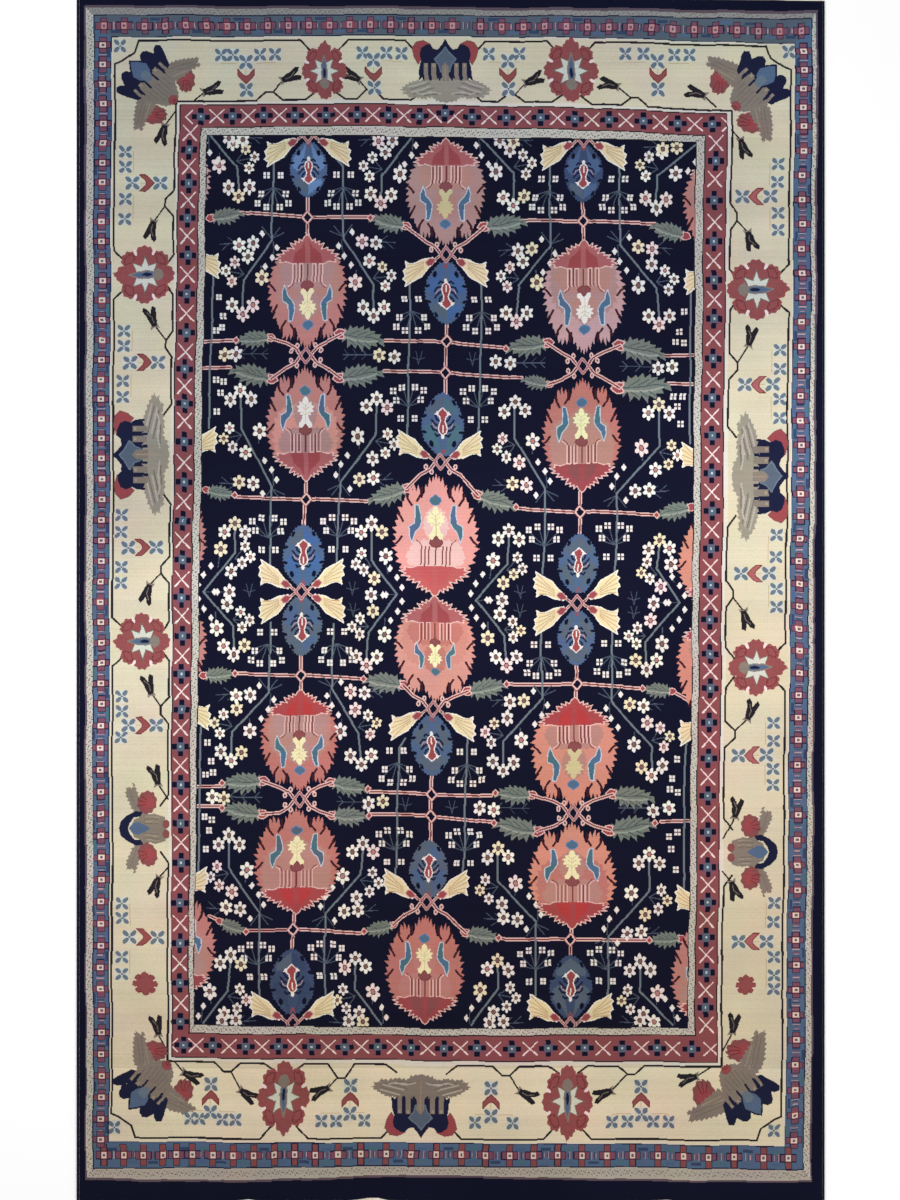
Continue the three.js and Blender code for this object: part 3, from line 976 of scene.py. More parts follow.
def thistle(x, y, tip):
    """A faint forked twig from (x, y) to the level of tip."""
    side = math.copysign(1, tip - x)
    twig([(x, y), (tip, y)])
    for share in (0.35, 0.6, 0.85):
        root = x + share * (tip - x)
        for rise in (-5, 5):
            twig([(root, y), (root + 5 * side, y + rise)], 0.7)


def mark(x, y):
    """A faint scribble of fine leaves."""
    for side in (-1, 1):
        twig([(x, y + 7), (x + 3 * side, y - 6)], 0.6)
        twig([(x, y + 2), (x + 6 * side, y)], 0.6)


# Colourings of the rose palmettes.
DULL = dict()
WARM = dict(body="salmon", shade="fawn", edge="salmon", cap="red")
MAUVE = dict(body="mauve", shade="fawn", edge="dust", leaf=("lagoon", "steel"), flower="white")
PINK = dict(body="blush", shade="pink", edge="blush", cap="coral", leaf=("teal", "steel"))
BROWN = dict(body="terra", shade="fawn", edge="terra", cap="red")

# Rose palmettes: centre, width, height, way of the cap (-1 up, 1 down) and dyes.
PALMETTES = [
    (445.8, 192.0, 78, 107, -1, dict(MAUVE, flower="straw", edge="mauve", cap="dusky")),
    (435.5, 537.0, 84, 120, 1, PINK),
    (435.0, 648.5, 80, 104, -1, dict(PINK, body="bloom", shade="terra", edge="peach", inner=0.8,
                                     cap="dusky")),
    (425.0, 970.0, 77, 107, 1, dict(BROWN, cap="brick", shade="rosy")),
    (307.2, 291.0, 78, 112, -1, dict(cap="dusky")),
    (305.5, 424.0, 78, 113, 1, dict(PINK, body="peach", shade="mauve", edge="rosy", flower="white",
                                     cap="dusky")),
    (299.8, 740.0, 76, 101, -1, dict(BROWN, body="fawn", shade="mauve")),
    (296.2, 862.0, 84, 105, 1, dict(BROWN, body="fawn", leaf=("slate", "teal"))),
    (584.0, 296.0, 81, 112, -1, dict(MAUVE, cap="dusky")),
    (582.0, 436.0, 77, 112, 1, dict(shade="fawn", edge="terra")),
    (574.0, 752.5, 84, 109, -1, dict(WARM, flower="straw")),
    (572.0, 877.0, 86, 105, 1, dict(WARM, body="terra")),
    (167.0, 537.0, 78, 106, 1, DULL),
    (166.5, 645.0, 78, 108, -1, DULL),
    (176.5, 948.0, 78, 106, 1, DULL),
    (171.0, 180.0, 78, 100, -1, MAUVE),
    (723.0, 204.0, 78, 106, -1, DULL),
    (719.0, 562.0, 80, 106, 1, WARM),
    (717.0, 668.0, 80, 108, -1, WARM),
    (712.0, 976.0, 80, 106, 1, DULL),
]

# Blue palmettes: centre, height, the way of the crossing beside them, and dyes.
BLUES = [
    (446, 293, 63, -1, ("denim", "blue")), (443.4, 425, 64, 1, ("denim", "teal")),
    (432, 745.5, 61, -1, ("denim", "slate")), (428.5, 868.5, 58, 1, ("slate", "denim")),
    (308.6, 169.5, 56, -1, ("denim", "sky")), (303.5, 555, 62, 1, ("denim", "blue")),
    (301.5, 625.5, 60, -1, ("slate", "denim")), (292, 982, 66, 1, ("dusk", "rung")),
    (583, 173.5, 58, -1, ("dusk", "denim")), (578.5, 563.5, 60, 1, ("denim", "slate")),
    (576.8, 638, 56, -1, ("denim", "slate")), (571, 987.5, 64, 1, ("dusk", "slate")),
]

# Crossings, with the buds that their arms reach and the ways of their tulips.
CROSSINGS = [
    (308, 135, (1,)), (583, 139, (1,)), (446, 254.5, (1,)), (440, 462.4, (-1,)), (432.7, 709, (1,)),
    (426, 901.5, (-1,)), (306.4, 355, ()), (582.4, 366, ()), (299.7, 799.5, ()), (573.8, 813.7, ()),
    (302, 591, (-1, 1)), (577.2, 603, (-1, 1)), (292, 1023, (-1,)), (571, 1025.5, (-1,)),
    (177, 246, (1,)), (174.5, 459, (-1,)), (168, 698, (1,)), (165, 899, (-1,)), (727, 262, (1,)),
    (723, 475, (-1,)), (721, 714, (1,)), (717.5, 917, (-1,)),
]

# Diamonds that tie the palmettes of a column together.
DIAMONDS = [
    (446.4, 341.2), (445.4, 372.7), (432.2, 794.2), (431.5, 815.8), (308, 217.4), (305.8, 498.8),
    (301, 675), (293, 930), (583.2, 221), (579.5, 512), (576.5, 684.4), (570.8, 940.2),
]

# Upright links of the columns, from motif to motif.
UPRIGHTS = [
    (446, 322, 445.5, 393), (432, 775, 430, 842), (308.4, 196, 307.9, 237), (305.6, 479, 304, 526),
    (301, 653, 300.4, 690), (294.4, 912, 292.4, 952), (583, 201, 583.6, 242), (580.4, 490, 579, 536),
    (576.6, 664, 575, 700), (571.4, 927, 571, 958),
]

# Level links, each from a diamond or the field's edge to the tip of a leaf.
LEVELS = [
    (241, 212, 303, 216.6), (313, 217.4, 374, 217.6), (522, 220.8, 578, 221.4), (588, 221.5, 655, 224),
    (234, 339.6, 204, 341), (231, 366.7, 204, 367.5), (384.6, 340.4, 441, 342),
    (384.6, 371, 440, 372.7), (452, 342.4, 503, 347), (450.5, 372.9, 521, 377.7),
    (665, 355.8, 694, 355), (668.5, 383.4, 694, 384.3), (237, 497, 300.6, 498.8),
    (311, 498.8, 367, 501.2), (513, 508, 574.4, 511.6), (584.6, 511.6, 654, 514.8),
    (237, 673.2, 296, 675), (306, 675, 364, 679), (506, 683.8, 571, 684), (582, 684.4, 641, 688.6),
    (672, 692, 694, 704), (371, 792.2, 427, 794), (371, 814.6, 426, 815.4), (437.6, 794.2, 492, 795.6),
    (437, 816.4, 493, 822), (224, 786.2, 195, 786.6), (222, 806.2, 195, 806.2),
    (661, 821.6, 690, 820.6), (247, 929.8, 287.6, 929.8), (298, 929.8, 363, 933.4),
    (503, 938.6, 565.4, 939.8), (576, 940.2, 646, 940.2), (220, 921, 210, 916),
]

# Leaves, from bud to tip, and whether the far end has a bud as well.
LEAVES = [
    (211.8, 217.4, 244, 212, 0), (406, 226, 371, 218.5, 1), (485, 226, 526, 221, 0),
    (685, 235.3, 651, 225, 0), (269.8, 337.6, 236, 339.6, 1), (340.6, 334.6, 384, 341, 0),
    (271.5, 378.3, 231, 369, 0), (340.6, 378.5, 383, 372, 0), (547, 343, 506, 348, 1),
    (620.3, 346, 665, 355, 0), (548, 384.3, 521, 379, 0), (619.4, 388.6, 670, 384.6, 0),
    (206, 490, 234, 495, 1), (406, 489, 368, 500, 0), (478.3, 494.6, 516, 507, 1),
    (690, 508, 656, 515, 1), (204, 675.5, 235, 673.4, 1), (402, 685.5, 363, 679, 1),
    (467.5, 690.5, 506, 684, 1), (671, 692, 642, 688.4, 1), (331.5, 782.9, 368, 789, 1),
    (332.3, 816.1, 369, 816, 1), (532.2, 794.5, 496, 793, 1), (537.1, 831, 494, 823, 1),
    (262.4, 780.4, 222, 783, 1), (261.5, 813.6, 222, 808, 1), (613.4, 794.7, 655, 798, 0),
    (609.9, 830.9, 655, 823, 1), (220, 921.4, 246, 931, 1), (392.9, 925.7, 364, 932, 1),
    (465.8, 932.3, 499, 938, 1), (681.4, 938.2, 650, 940.2, 1),
]

# Flowering branches: start, knee, end, side of their palmette, and the stem before the start.
SPRAYS = [
    (411, 137.7, 381.5, 176, 381.3, 196), (480.8, 137.7, 513.3, 173, 513.9, 198),
    (210.4, 135, 237.2, 166.4, 239, 188), (694.7, 144.4, 657.4, 175, 656.4, 200),
    (271.6, 240.6, 243.3, 279.6, 242.5, 306, 274, 163, 273, 200),
    (343.6, 239.6, 373.3, 285, 373, 309, 337, 160, 343, 167, 343, 200),
    (550.6, 247, 519.5, 285, 515.8, 314, 549, 163, 550, 200),
    (620.3, 245, 656.4, 288, 658.5, 317, 618.6, 166, 619.6, 200),
    (271, 486, 241.6, 429, 240.8, 398, 270.2, 565, 270.6, 520),
    (340.2, 482, 376.3, 435, 376.8, 406, 336.6, 563, 338, 520),
    (545, 487.6, 515.3, 439, 515.3, 409.5, 543, 573, 544.4, 530),
    (616.8, 494, 659.5, 446.3, 659.5, 412, 615.5, 574, 616.2, 530),
    (397.6, 595, 371.5, 560, 371.5, 531), (476.4, 600, 507.4, 564.4, 508.1, 538),
    (397.6, 595, 368, 632.5, 366.5, 658), (476.4, 600, 504.8, 635.7, 506.5, 658),
    (204, 591.8, 235, 552.8, 235.5, 531), (204, 591.8, 232.5, 625.8, 233.3, 647),
    (679.7, 603.3, 657.3, 568.8, 659, 548), (679.7, 603.3, 646.1, 642, 646.1, 662),
    (268.2, 692, 232.5, 732.3, 231.7, 753, 270.2, 622, 269.6, 660),
    (331.4, 689, 358.9, 733.2, 361.4, 757, 333.2, 624, 332, 660),
    (541.8, 697.6, 503.2, 741.5, 503.2, 763, 541.6, 627.6, 541.4, 660),
    (611, 702, 651.3, 746.5, 652.1, 768, 613, 632.5, 611.8, 670),
    (259.2, 911, 228.4, 867.5, 228.4, 843, 259, 998, 259.4, 950),
    (325.6, 914, 360.5, 874.1, 362.2, 851, 324.9, 994, 325, 950),
    (535.4, 921.6, 497.3, 880.8, 497.8, 856, 535.5, 996, 536.2, 950),
    (609, 936, 648.7, 891.1, 649.2, 862, 608.2, 996.4, 608.6, 950),
    (381.3, 1025, 354.7, 990.4, 355.9, 966), (471.6, 1025, 498.2, 988, 498.2, 968),
    (202.7, 1023, 227.5, 989.6, 231.2, 962), (672.8, 1025, 640.1, 991.3, 640.1, 969),
]

# Upright stems that end in tulips at both ends.
STEMS = [
    (410, 283, 409, 341, 408, 438), (481.6, 283, 480.6, 345, 479, 438),
    (406, 739, 399.6, 749, 397.8, 800, 395.4, 877), (467.5, 738, 465.8, 793, 464.2, 848, 462.2, 880),
    (213, 275, 211, 350, 209, 428), (690, 290, 690, 360, 690, 444),
    (201.4, 724, 199.6, 800, 197.8, 872), (685.7, 744, 684.6, 800, 683.5, 890),
]

# Small flowers beside the stems at the field's sides.
EDGE_FLOWERS = [
    (218.9, 296.5), (223, 315.8), (221.4, 327), (215.6, 330), (216.8, 378.8), (224.2, 380.8),
    (221.2, 392), (216.8, 410.6), (683.5, 311), (679.2, 331.7), (675.4, 342), (684, 343),
    (673.7, 396.7), (683, 396.7), (678, 406.6), (681, 424), (208.1, 742.3), (211.8, 761.4),
    (205.5, 774.6), (213.1, 772.6), (204.7, 816.9), (211.8, 819.7), (209, 830.2), (205.2, 848.8),
    (677.1, 759.4), (672.8, 778.4), (670.7, 789), (678.3, 792.5), (677.6, 832.3), (669, 836.6),
    (671, 849), (675.9, 869.6),
]

# Pairs of blossoms between the two links of a row, and how far their thistle reaches.
PAIRS = [
    (379.6, 355.3, 394.9, 357, 344), (510.3, 362.8, 495.7, 361, 545), (225, 354, 236.3, 353.4, 269),
    (671.6, 367, 657.6, 368.4, 619), (212.3, 796.7, 223.9, 798.2, 262),
    (383.4, 802, 369.3, 804.1, 337), (480.3, 807.8, 494.4, 810, 530), (669.3, 808, 653.5, 811, 619),
]
MARKS = [
    (419, 358), (472.5, 358), (406, 804.5), (452.6, 806), (353, 588), (353, 609), (520.6, 591),
    (520, 610), (634, 598), (634, 612), (250, 590),
]


def paint_field():
    fill(HERE, FRAMES["field"].outline, "navy")
    for link in UPRIGHTS + LEVELS:
        double_line(points(link))
    for x, y in MARKS:
        mark(x, y)
    for x, y, other_x, other_y, tip in PAIRS:
        thistle(x, y, tip)
        blossom(x, y)
        blossom(other_x, other_y)
    for branch in SPRAYS:
        spray(*points(branch))
    for route in STEMS:
        line(HERE, points(route), STEM_WIDTH, "stem")
    for x, y in EDGE_FLOWERS:
        small_flower(x, y)
    for bud_x, bud_y, tip_x, tip_y, far_bud in LEAVES:
        long_leaf(bud_x, bud_y, tip_x, tip_y)
        if far_bud:
            edged(spot(tip_x, tip_y), [(-3, 0), (0, -3.4), (3, 0), (0, 3.4)], "brick", "pink", 1.0)
    for x, y, wide, tall, way, dyes in PALMETTES:
        rose_palmette(spot(x, y, wide / 79, -way * tall / 113), **dyes)
    for x, y, tall, way, dyes in BLUES:
        for side in (-1, 1):
            bough(x + 35 * side, y - 6 * way, -way)
        blue_palmette(spot(x, y, tall / 63, -way * tall / 63), *dyes)
    for x, y, ways in CROSSINGS:
        crossing(x, y, ways)
    for x, y in DIAMONDS:
        link_diamond(x, y)


# The carpet in Blender

THICKNESS = 0.009
FOUNDATION = 0.003
PILE_ROUNDING = 0.006
HALF_LENGTH = 2.444
CORD_WIDTHS = {"left": 0.012, "right": 0.009}
GAP = 0.0003

# How far each end of the cloth runs past its mean line, in metres, at shares of the width.
TOP_END = ((0, 0.2, 0.5, 0.78, 0.93, 0.96, 1), (12, 19, 9, 5, 2, -1, -2))
BOTTOM_END = ((0, 0.165, 0.21, 0.227, 0.245, 0.37, 0.385, 0.405, 0.42, 0.57, 0.77, 0.785, 0.8, 1),
              (5, 8, 6, -2, 5, 4, -7, -7, 4, 7, 5, -1, 6, 6))


def end_offset(table, x):
    """The offset of an end at x, easing from each row of its table to the next."""
    at, out = np.asarray(table[0], float), np.asarray(table[1], float) / 1000
    share = np.clip(np.asarray(x, float) / CARPET_WIDTH + 0.5, 0, 1)
    after = np.clip(np.searchsorted(at, share), 1, len(at) - 1)
    t = (share - at[after - 1]) / (at[after] - at[after - 1])
    t = t * t * (3 - 2 * t)
    return out[after - 1] + (out[after] - out[after - 1]) * t


def top_y(x):
    return HALF_LENGTH + end_offset(TOP_END, x)


def bottom_y(x):
    return -HALF_LENGTH - end_offset(BOTTOM_END, x)


CLOTH_LEFT = -CARPET_WIDTH / 2 + CORD_WIDTHS["left"] + GAP
CLOTH_RIGHT = CARPET_WIDTH / 2 - CORD_WIDTHS["right"] - GAP


def world_x(column):
    return (CHART_LEFT + np.asarray(column) / CELLS - (LEFT + RIGHT) / 2) * UNIT


def world_y(row):
    return (MIDDLE_Y - CHART_TOP - np.asarray(row) / CELLS) * UNIT


def linear(rgb):
    c = np.asarray(rgb, float) / 255
    return np.where(c <= 0.04045, c / 12.92, ((c + 0.055) / 1.055) ** 2.4)


# Zones of the chart, each a piece of its own, and the frames between each two of them.
ZONES = ["edge_band", "outer_guard", "main_border", "inner_guard", "field_top", "field_bottom"]
ZONE_FRAMES = ("dots", "ivory", "inner", "field")


def zone_map():
    zones = np.zeros(chart.shape, np.uint8)
    for number, frame in enumerate(ZONE_FRAMES, 1):
        found = inside(cells(HERE, FRAMES[frame].outline))
        rows, columns, mask = found
        zones[rows, columns][mask] = number
    lower_half = zones[ROWS // 2:]
    lower_half[lower_half == len(ZONE_FRAMES)] += 1
    return zones


def wander(*grids):
    """Shifts every knot by up to a knot or so, smoothly, as a weaver's lines stray."""
    row = np.arange(ROWS)[:, None]
    column = np.arange(COLUMNS)[None, :]
    down = 0.9 * np.sin(column / 61 + 0.8 * np.sin(row / 190)) + 0.6 * np.sin(column / 23 + row / 310)
    across = 0.8 * np.sin(row / 47 + 0.9 * np.sin(column / 170)) + 0.6 * np.sin(row / 19 + column / 260)
    rows = np.clip(np.rint(row + down).astype(int), 0, ROWS - 1)
    columns = np.clip(np.rint(column + across).astype(int), 0, COLUMNS - 1)
    return [grid[rows, columns] for grid in grids]


LONGEST_RUN = 16


def rectangles(colours, zones, zone):
    """Blocks of alike knots of a zone: first runs along each row, then runs joined down the rows."""
    keyed = np.where(zones == zone, colours.astype(int), -1)
    done = []
    open_runs = {}
    for r in range(ROWS):
        row = keyed[r]
        breaks = np.flatnonzero(row[1:] != row[:-1]) + 1
        starts = np.concatenate([[0], breaks])
        ends = np.concatenate([breaks, [COLUMNS]])
        current = {}
        for a, b in zip(starts.tolist(), ends.tolist()):
            colour = int(row[a])
            if colour < 0:
                continue
            cut = list(range(a, b, LONGEST_RUN)) + [b] if zone == 0 else [a, b]
            for c0, c1 in zip(cut, cut[1:]):
                key = (c0, c1, colour)
                first = open_runs.pop(key, r)
                if zone == 0 and r - first >= LONGEST_RUN:
                    done.append((first, r) + key)
                    first = r
                current[key] = first
        for key, first in open_runs.items():
            done.append((first, r) + key)
        open_runs = current
    for key, first in open_runs.items():
        done.append((first, ROWS) + key)
    return np.array(done)


def new_object(name, vertices, faces, materials):
    mesh = bpy.data.meshes.new(name)
    mesh.from_pydata(vertices, [], faces)
    mesh.update()
    obj = bpy.data.objects.new(name, mesh)
    bpy.context.scene.collection.objects.link(obj)
    for material in materials:
        mesh.materials.append(material)
    return obj


def unfold(mesh, zone):
    """Texture space of a pile piece: half the field fills it, and a ring lies in it as six strips."""
    points = np.empty(3 * len(mesh.vertices))
    mesh.vertices.foreach_get("co", points)
    corners = np.empty(len(mesh.loops), np.int32)
    mesh.loops.foreach_get("vertex_index", corners)
    flat = points.reshape(-1, 3)[corners, :2].reshape(-1, 4, 2)
    strip = np.zeros(len(flat), int)
    strips = 1
    if zone < len(ZONE_FRAMES):
        hole = FRAMES[ZONE_FRAMES[zone]].outline
        middle = flat.mean(1)
        half_wide = (hole[:, 0].max() - hole[:, 0].min()) / 2 * UNIT
        hole_x = ((hole[:, 0].max() + hole[:, 0].min()) / 2 - (LEFT + RIGHT) / 2) * UNIT
        beside = np.abs(middle[:, 0] - hole_x) > half_wide
        strip = np.where(beside, 2 * (middle[:, 0] > hole_x), 4) + (middle[:, 1] > 0)
        strips = 6
    uv = np.zeros_like(flat)
    for k in range(strips):
        chosen = strip == k
        low, high = flat[chosen].min((0, 1)), flat[chosen].max((0, 1))
        share = (flat[chosen] - low) / (high - low)
        if 1 < strips and k < 4:
            share = share[..., ::-1]
        uv[chosen] = np.stack([0.004 + 0.992 * share[..., 0], (k + 0.01 + 0.98 * share[..., 1]) / strips], -1)
    mesh.uv_layers.new(name="OFBake").data.foreach_set("uv", uv.ravel())


def pile_piece(zone, colours, zones, material):
    blocks = rectangles(colours, zones, zone)
    r0, r1, c0, c1, dye = blocks.T
    x0, x1 = world_x(c0), world_x(c1)
    y0, y1 = world_y(r1), world_y(r0)
    left, right = CLOTH_LEFT + PILE_ROUNDING, CLOTH_RIGHT - PILE_ROUNDING
    corners_x = np.clip(np.stack([x0, x1, x1, x0], 1), left, right)
    corners_y = np.stack([y0, y0, y1, y1], 1)
    low = bottom_y(corners_x) + PILE_ROUNDING
    high = top_y(corners_x) - PILE_ROUNDING
    corners_y = np.clip(corners_y, low, high)
    wide = corners_x[:, 1] - corners_x[:, 0]
    tall = np.maximum(corners_y[:, 3] - corners_y[:, 0], corners_y[:, 2] - corners_y[:, 1])
    keep = (wide > 1e-6) & (tall > 1e-6)
    corners_x, corners_y, dye = corners_x[keep], corners_y[keep], dye[keep]
    points = np.stack([corners_x.ravel(), corners_y.ravel()], 1)
    unique, index = np.unique(np.round(points, 7), axis=0, return_inverse=True)
    vertices = np.column_stack([unique, np.full(len(unique), THICKNESS)])
    faces = index.reshape(-1, 4)
    if zone == 0:
        vertices, faces, dye = add_rim(vertices, faces, dye)
    mesh = bpy.data.meshes.new(ZONES[zone])
    mesh.vertices.add(len(vertices))
    mesh.vertices.foreach_set("co", vertices.ravel())
    mesh.loops.add(faces.size)
    mesh.loops.foreach_set("vertex_index", faces.ravel().astype(np.int32))
    mesh.polygons.add(len(faces))
    mesh.polygons.foreach_set("loop_start", np.arange(0, faces.size, 4, dtype=np.int32))
    mesh.polygons.foreach_set("loop_total", np.full(len(faces), 4, np.int32))
    mesh.update(calc_edges=True)
    palette = np.array([np.append(linear(rgb), 1) for rgb in DYES.values()])
    layer = mesh.attributes.new("dye", "FLOAT_COLOR", "FACE")
    layer.data.foreach_set("color", palette[dye].ravel())
    mesh.validate()
    unfold(mesh, zone)
    mesh.materials.append(material)
    obj = bpy.data.objects.new("pile_" + ZONES[zone], mesh)
    bpy.context.scene.collection.objects.link(obj)
    print(obj.name, len(mesh.polygons), "faces")
    return obj


RIM_ANGLES = (0, 30, 60, 90)
RIM_STEPS = 200


def add_rim(vertices, faces, dye):
    """The pile's edge, which leans in above the foundation all round."""
    columns = np.arange(0, COLUMNS + 1, LONGEST_RUN)
    xs = np.clip(world_x(columns), CLOTH_LEFT + PILE_ROUNDING, CLOTH_RIGHT - PILE_ROUNDING)
    xs = np.unique(np.round(np.append(xs, [CLOTH_LEFT + PILE_ROUNDING, CLOTH_RIGHT - PILE_ROUNDING]), 7))
    path = [(x, bottom_y(x) + PILE_ROUNDING, 0, -1) for x in xs]
    ys = np.linspace(path[-1][1], top_y(xs[-1]) - PILE_ROUNDING, RIM_STEPS)[1:-1]
    path += [(xs[-1], y, 1, 0) for y in ys]
    path += [(x, top_y(x) - PILE_ROUNDING, 0, 1) for x in xs[::-1]]
    ys = np.linspace(top_y(xs[0]) - PILE_ROUNDING, bottom_y(xs[0]) + PILE_ROUNDING, RIM_STEPS)[1:-1]
    path += [(xs[0], y, -1, 0) for y in ys]
    path = np.array(path)
    far_corner = len(xs) + RIM_STEPS - 2
    corner = np.isin(np.arange(len(path)), [0, len(xs) - 1, far_corner, far_corner + len(xs) - 1])
    rings = []
    for angle in RIM_ANGLES:
        out = PILE_ROUNDING * math.sin(math.radians(angle))
        z = FOUNDATION + (THICKNESS - FOUNDATION) * math.cos(math.radians(angle))
        shift = path[:, 2:] * out
        ring = np.column_stack([path[:, :2] + shift, np.full(len(path), z)])
        for i in np.flatnonzero(corner):
            ring[i, 0] = path[i, 0] + math.copysign(out, path[i, 0])
            ring[i, 1] = path[i, 1] + math.copysign(out, path[i, 1])
        rings.append(ring)
    start = len(vertices)
    n = len(path)
    extra = []
    for k in range(len(rings) - 1):
        for i in range(n):
            j = (i + 1) % n
            extra.append((start + k * n + i, start + (k + 1) * n + i, start + (k + 1) * n + j,
                          start + k * n + j))
    vertices = np.concatenate([vertices] + rings)
    faces = np.concatenate([faces, np.array(extra)])
    dye = np.concatenate([dye, np.full(len(extra), NUMBER["band"])])
    return vertices, faces, dye


class Nodes:
    """A short way to write shader nodes."""

    def __init__(self, name):
        self.material = bpy.data.materials.new(name)
        self.material.use_nodes = True
        self.tree = self.material.node_tree
        self.shader = self.tree.nodes["Principled BSDF"]

    def add(self, kind, *inputs, **settings):
        node = self.tree.nodes.new("ShaderNode" + kind)
        for key, value in settings.items():
            setattr(node, key, value)
        for i, value in enumerate(inputs):
            self.put(node.inputs[i], value)
        return node

    def put(self, socket, value):
        if value is None:
            return
        if isinstance(value, bpy.types.Node):
            value = value.outputs[0]
        if isinstance(value, bpy.types.NodeSocket):
            self.tree.links.new(value, socket)
        else:
            socket.default_value = value

    def maths(self, operation, *inputs):
        return self.add("Math", *inputs, operation=operation)

    def noise(self, place, scale, detail=2.0, dimensions="3D"):
        node = self.add("TexNoise", noise_dimensions=dimensions)
        if dimensions == "1D":
            self.put(node.inputs["W"], place)
        else:
            self.put(node.inputs["Vector"], place)
        node.inputs["Scale"].default_value = scale
        node.inputs["Detail"].default_value = detail
        return node

    def ramp(self, value, low, high, to_low, to_high):
        node = self.add("MapRange")
        for name, v in (("Value", value), ("From Min", low), ("From Max", high), ("To Min", to_low),
                        ("To Max", to_high)):
            self.put(node.inputs[name], v)
        return node


# Painted light and shade along the carpet, from its bottom end to its top end: place and tint. The wool is
# brightest a little above the middle, darker towards both ends and cooler towards the top end.
PAINTED_LIGHT_FALLOFF = [
    (-2.6, (0.72, 0.68, 0.68)), (-1.7, (0.80, 0.76, 0.75)), (-0.8, (0.96, 0.93, 0.96)),
    (0.0, (1.10, 1.11, 1.16)), (0.4, (1.06, 1.08, 1.15)), (0.8, (0.80, 0.83, 0.92)),
    (1.8, (0.70, 0.75, 0.84)), (2.6, (0.60, 0.66, 0.76)),
]
PAINTED_LIGHT_SCALE = 1.4


def wool(name, colour=None):
    """Knotted wool: yarn of uneven dye lots, knot by knot, with a soft tufted surface, and painted light and
    shade: lighter in the middle of the carpet and towards its right side, darker towards both ends.
    """
    n = Nodes(name)
    place = n.add("NewGeometry").outputs["Position"]
    split = n.add("SeparateXYZ", place)
    if colour is None:
        base = n.add("Attribute", attribute_name="dye").outputs["Color"]
    else:
        base = n.add("RGB")
        base.outputs[0].default_value = (*linear(colour), 1)
    snapped = n.add("VectorMath", place, (KNOT, KNOT, 1.0), operation="SNAP")
    knot = n.add("TexWhiteNoise", snapped, noise_dimensions="3D").outputs["Value"]
    lots = n.noise(split.outputs["Y"], 9.0, 4.0, "1D")
    row = n.noise(split.outputs["Y"], 130.0, 1.0, "1D")
    patch = n.noise(place, 2.2, 3.0)
    cast = n.noise(place, 5.0, 4.0).outputs["Color"]
    tone = n.maths("ADD", n.ramp(knot, 0, 1, -0.07, 0.07), n.ramp(lots, 0.3, 0.7, -0.05, 0.05))
    tone = n.maths("ADD", tone, n.ramp(row, 0.3, 0.7, -0.035, 0.035))
    tone = n.maths("ADD", tone, n.ramp(patch, 0.3, 0.7, -0.08, 0.08))
    # Painted light: the wool's tone rises from 0.94 at the left side to 1.12 at the right side.
    tone = n.maths("ADD", tone, n.ramp(split.outputs["X"], -1.5, 1.5, 0.94, 1.12))
    # Painted light and shade: the colour is multiplied by the tint of this ramp, read along the carpet and a
    # little across it.
    slant = n.maths("SUBTRACT", split.outputs["Y"], n.maths("MULTIPLY", split.outputs["X"], 0.3))
    painted_light_ramp = n.add("ValToRGB", n.ramp(slant, PAINTED_LIGHT_FALLOFF[0][0], PAINTED_LIGHT_FALLOFF[-1][0], 0, 1))
    stops = painted_light_ramp.color_ramp.elements
    for place_y, tint in PAINTED_LIGHT_FALLOFF:
        share = (place_y - PAINTED_LIGHT_FALLOFF[0][0]) / (PAINTED_LIGHT_FALLOFF[-1][0] - PAINTED_LIGHT_FALLOFF[0][0])
        stop = stops[0] if share == 0 else stops[-1] if share == 1 else stops.new(share)
        stop.color = (*(part / PAINTED_LIGHT_SCALE for part in tint), 1)
    lit_colour = n.add("VectorMath", base, painted_light_ramp.outputs["Color"], operation="MULTIPLY")
    shift = n.add("VectorMath", cast, (0.26, 0.16, 0.24), (0.87, 0.92, 0.88), operation="MULTIPLY_ADD")
    lit_colour = n.add("VectorMath", lit_colour, shift, operation="MULTIPLY")
    mixed = n.add("VectorMath", lit_colour, operation="SCALE")
    n.put(mixed.inputs["Scale"], n.maths("MULTIPLY", tone, PAINTED_LIGHT_SCALE))
    n.put(n.shader.inputs["Base Color"], mixed)
    n.shader.inputs["Roughness"].default_value = 0.93
    n.shader.inputs["Sheen Weight"].default_value = 0.03
    n.shader.inputs["Sheen Roughness"].default_value = 0.5
    n.shader.inputs["Specular IOR Level"].default_value = 0.06
    fibre = n.noise(place, 900.0, 3.0)
    tuft = n.noise(place, 260.0, 2.0)
    height = n.maths("ADD", n.maths("MULTIPLY", tuft, 0.7), n.maths("MULTIPLY", fibre, 0.3))
    bump = n.add("Bump")
    bump.inputs["Strength"].default_value = 0.5
    bump.inputs["Distance"].default_value = 0.0016
    n.put(bump.inputs["Height"], height)
    n.put(n.shader.inputs["Normal"], bump)
    return n.material


def cotton(name):
    n = Nodes(name)
    place = n.add("NewGeometry").outputs["Position"]
    patch = n.noise(place, 14.0, 3.0)
    mix = n.add("Mix", data_type="RGBA")
    n.put(mix.inputs[0], n.ramp(patch, 0.3, 0.7, 0, 1))
    n.put(mix.inputs[6], (*linear((214, 204, 182)), 1))
    n.put(mix.inputs[7], (*linear((238, 234, 222)), 1))
    n.put(n.shader.inputs["Base Color"], mix.outputs[2])
    n.shader.inputs["Roughness"].default_value = 0.9
    n.shader.inputs["Sheen Weight"].default_value = 0.15
    bump = n.add("Bump")
    bump.inputs["Strength"].default_value = 0.4
    bump.inputs["Distance"].default_value = 0.0006
    n.put(bump.inputs["Height"], n.noise(place, 700.0, 2.0))
    n.put(n.shader.inputs["Normal"], bump)
    return n.material


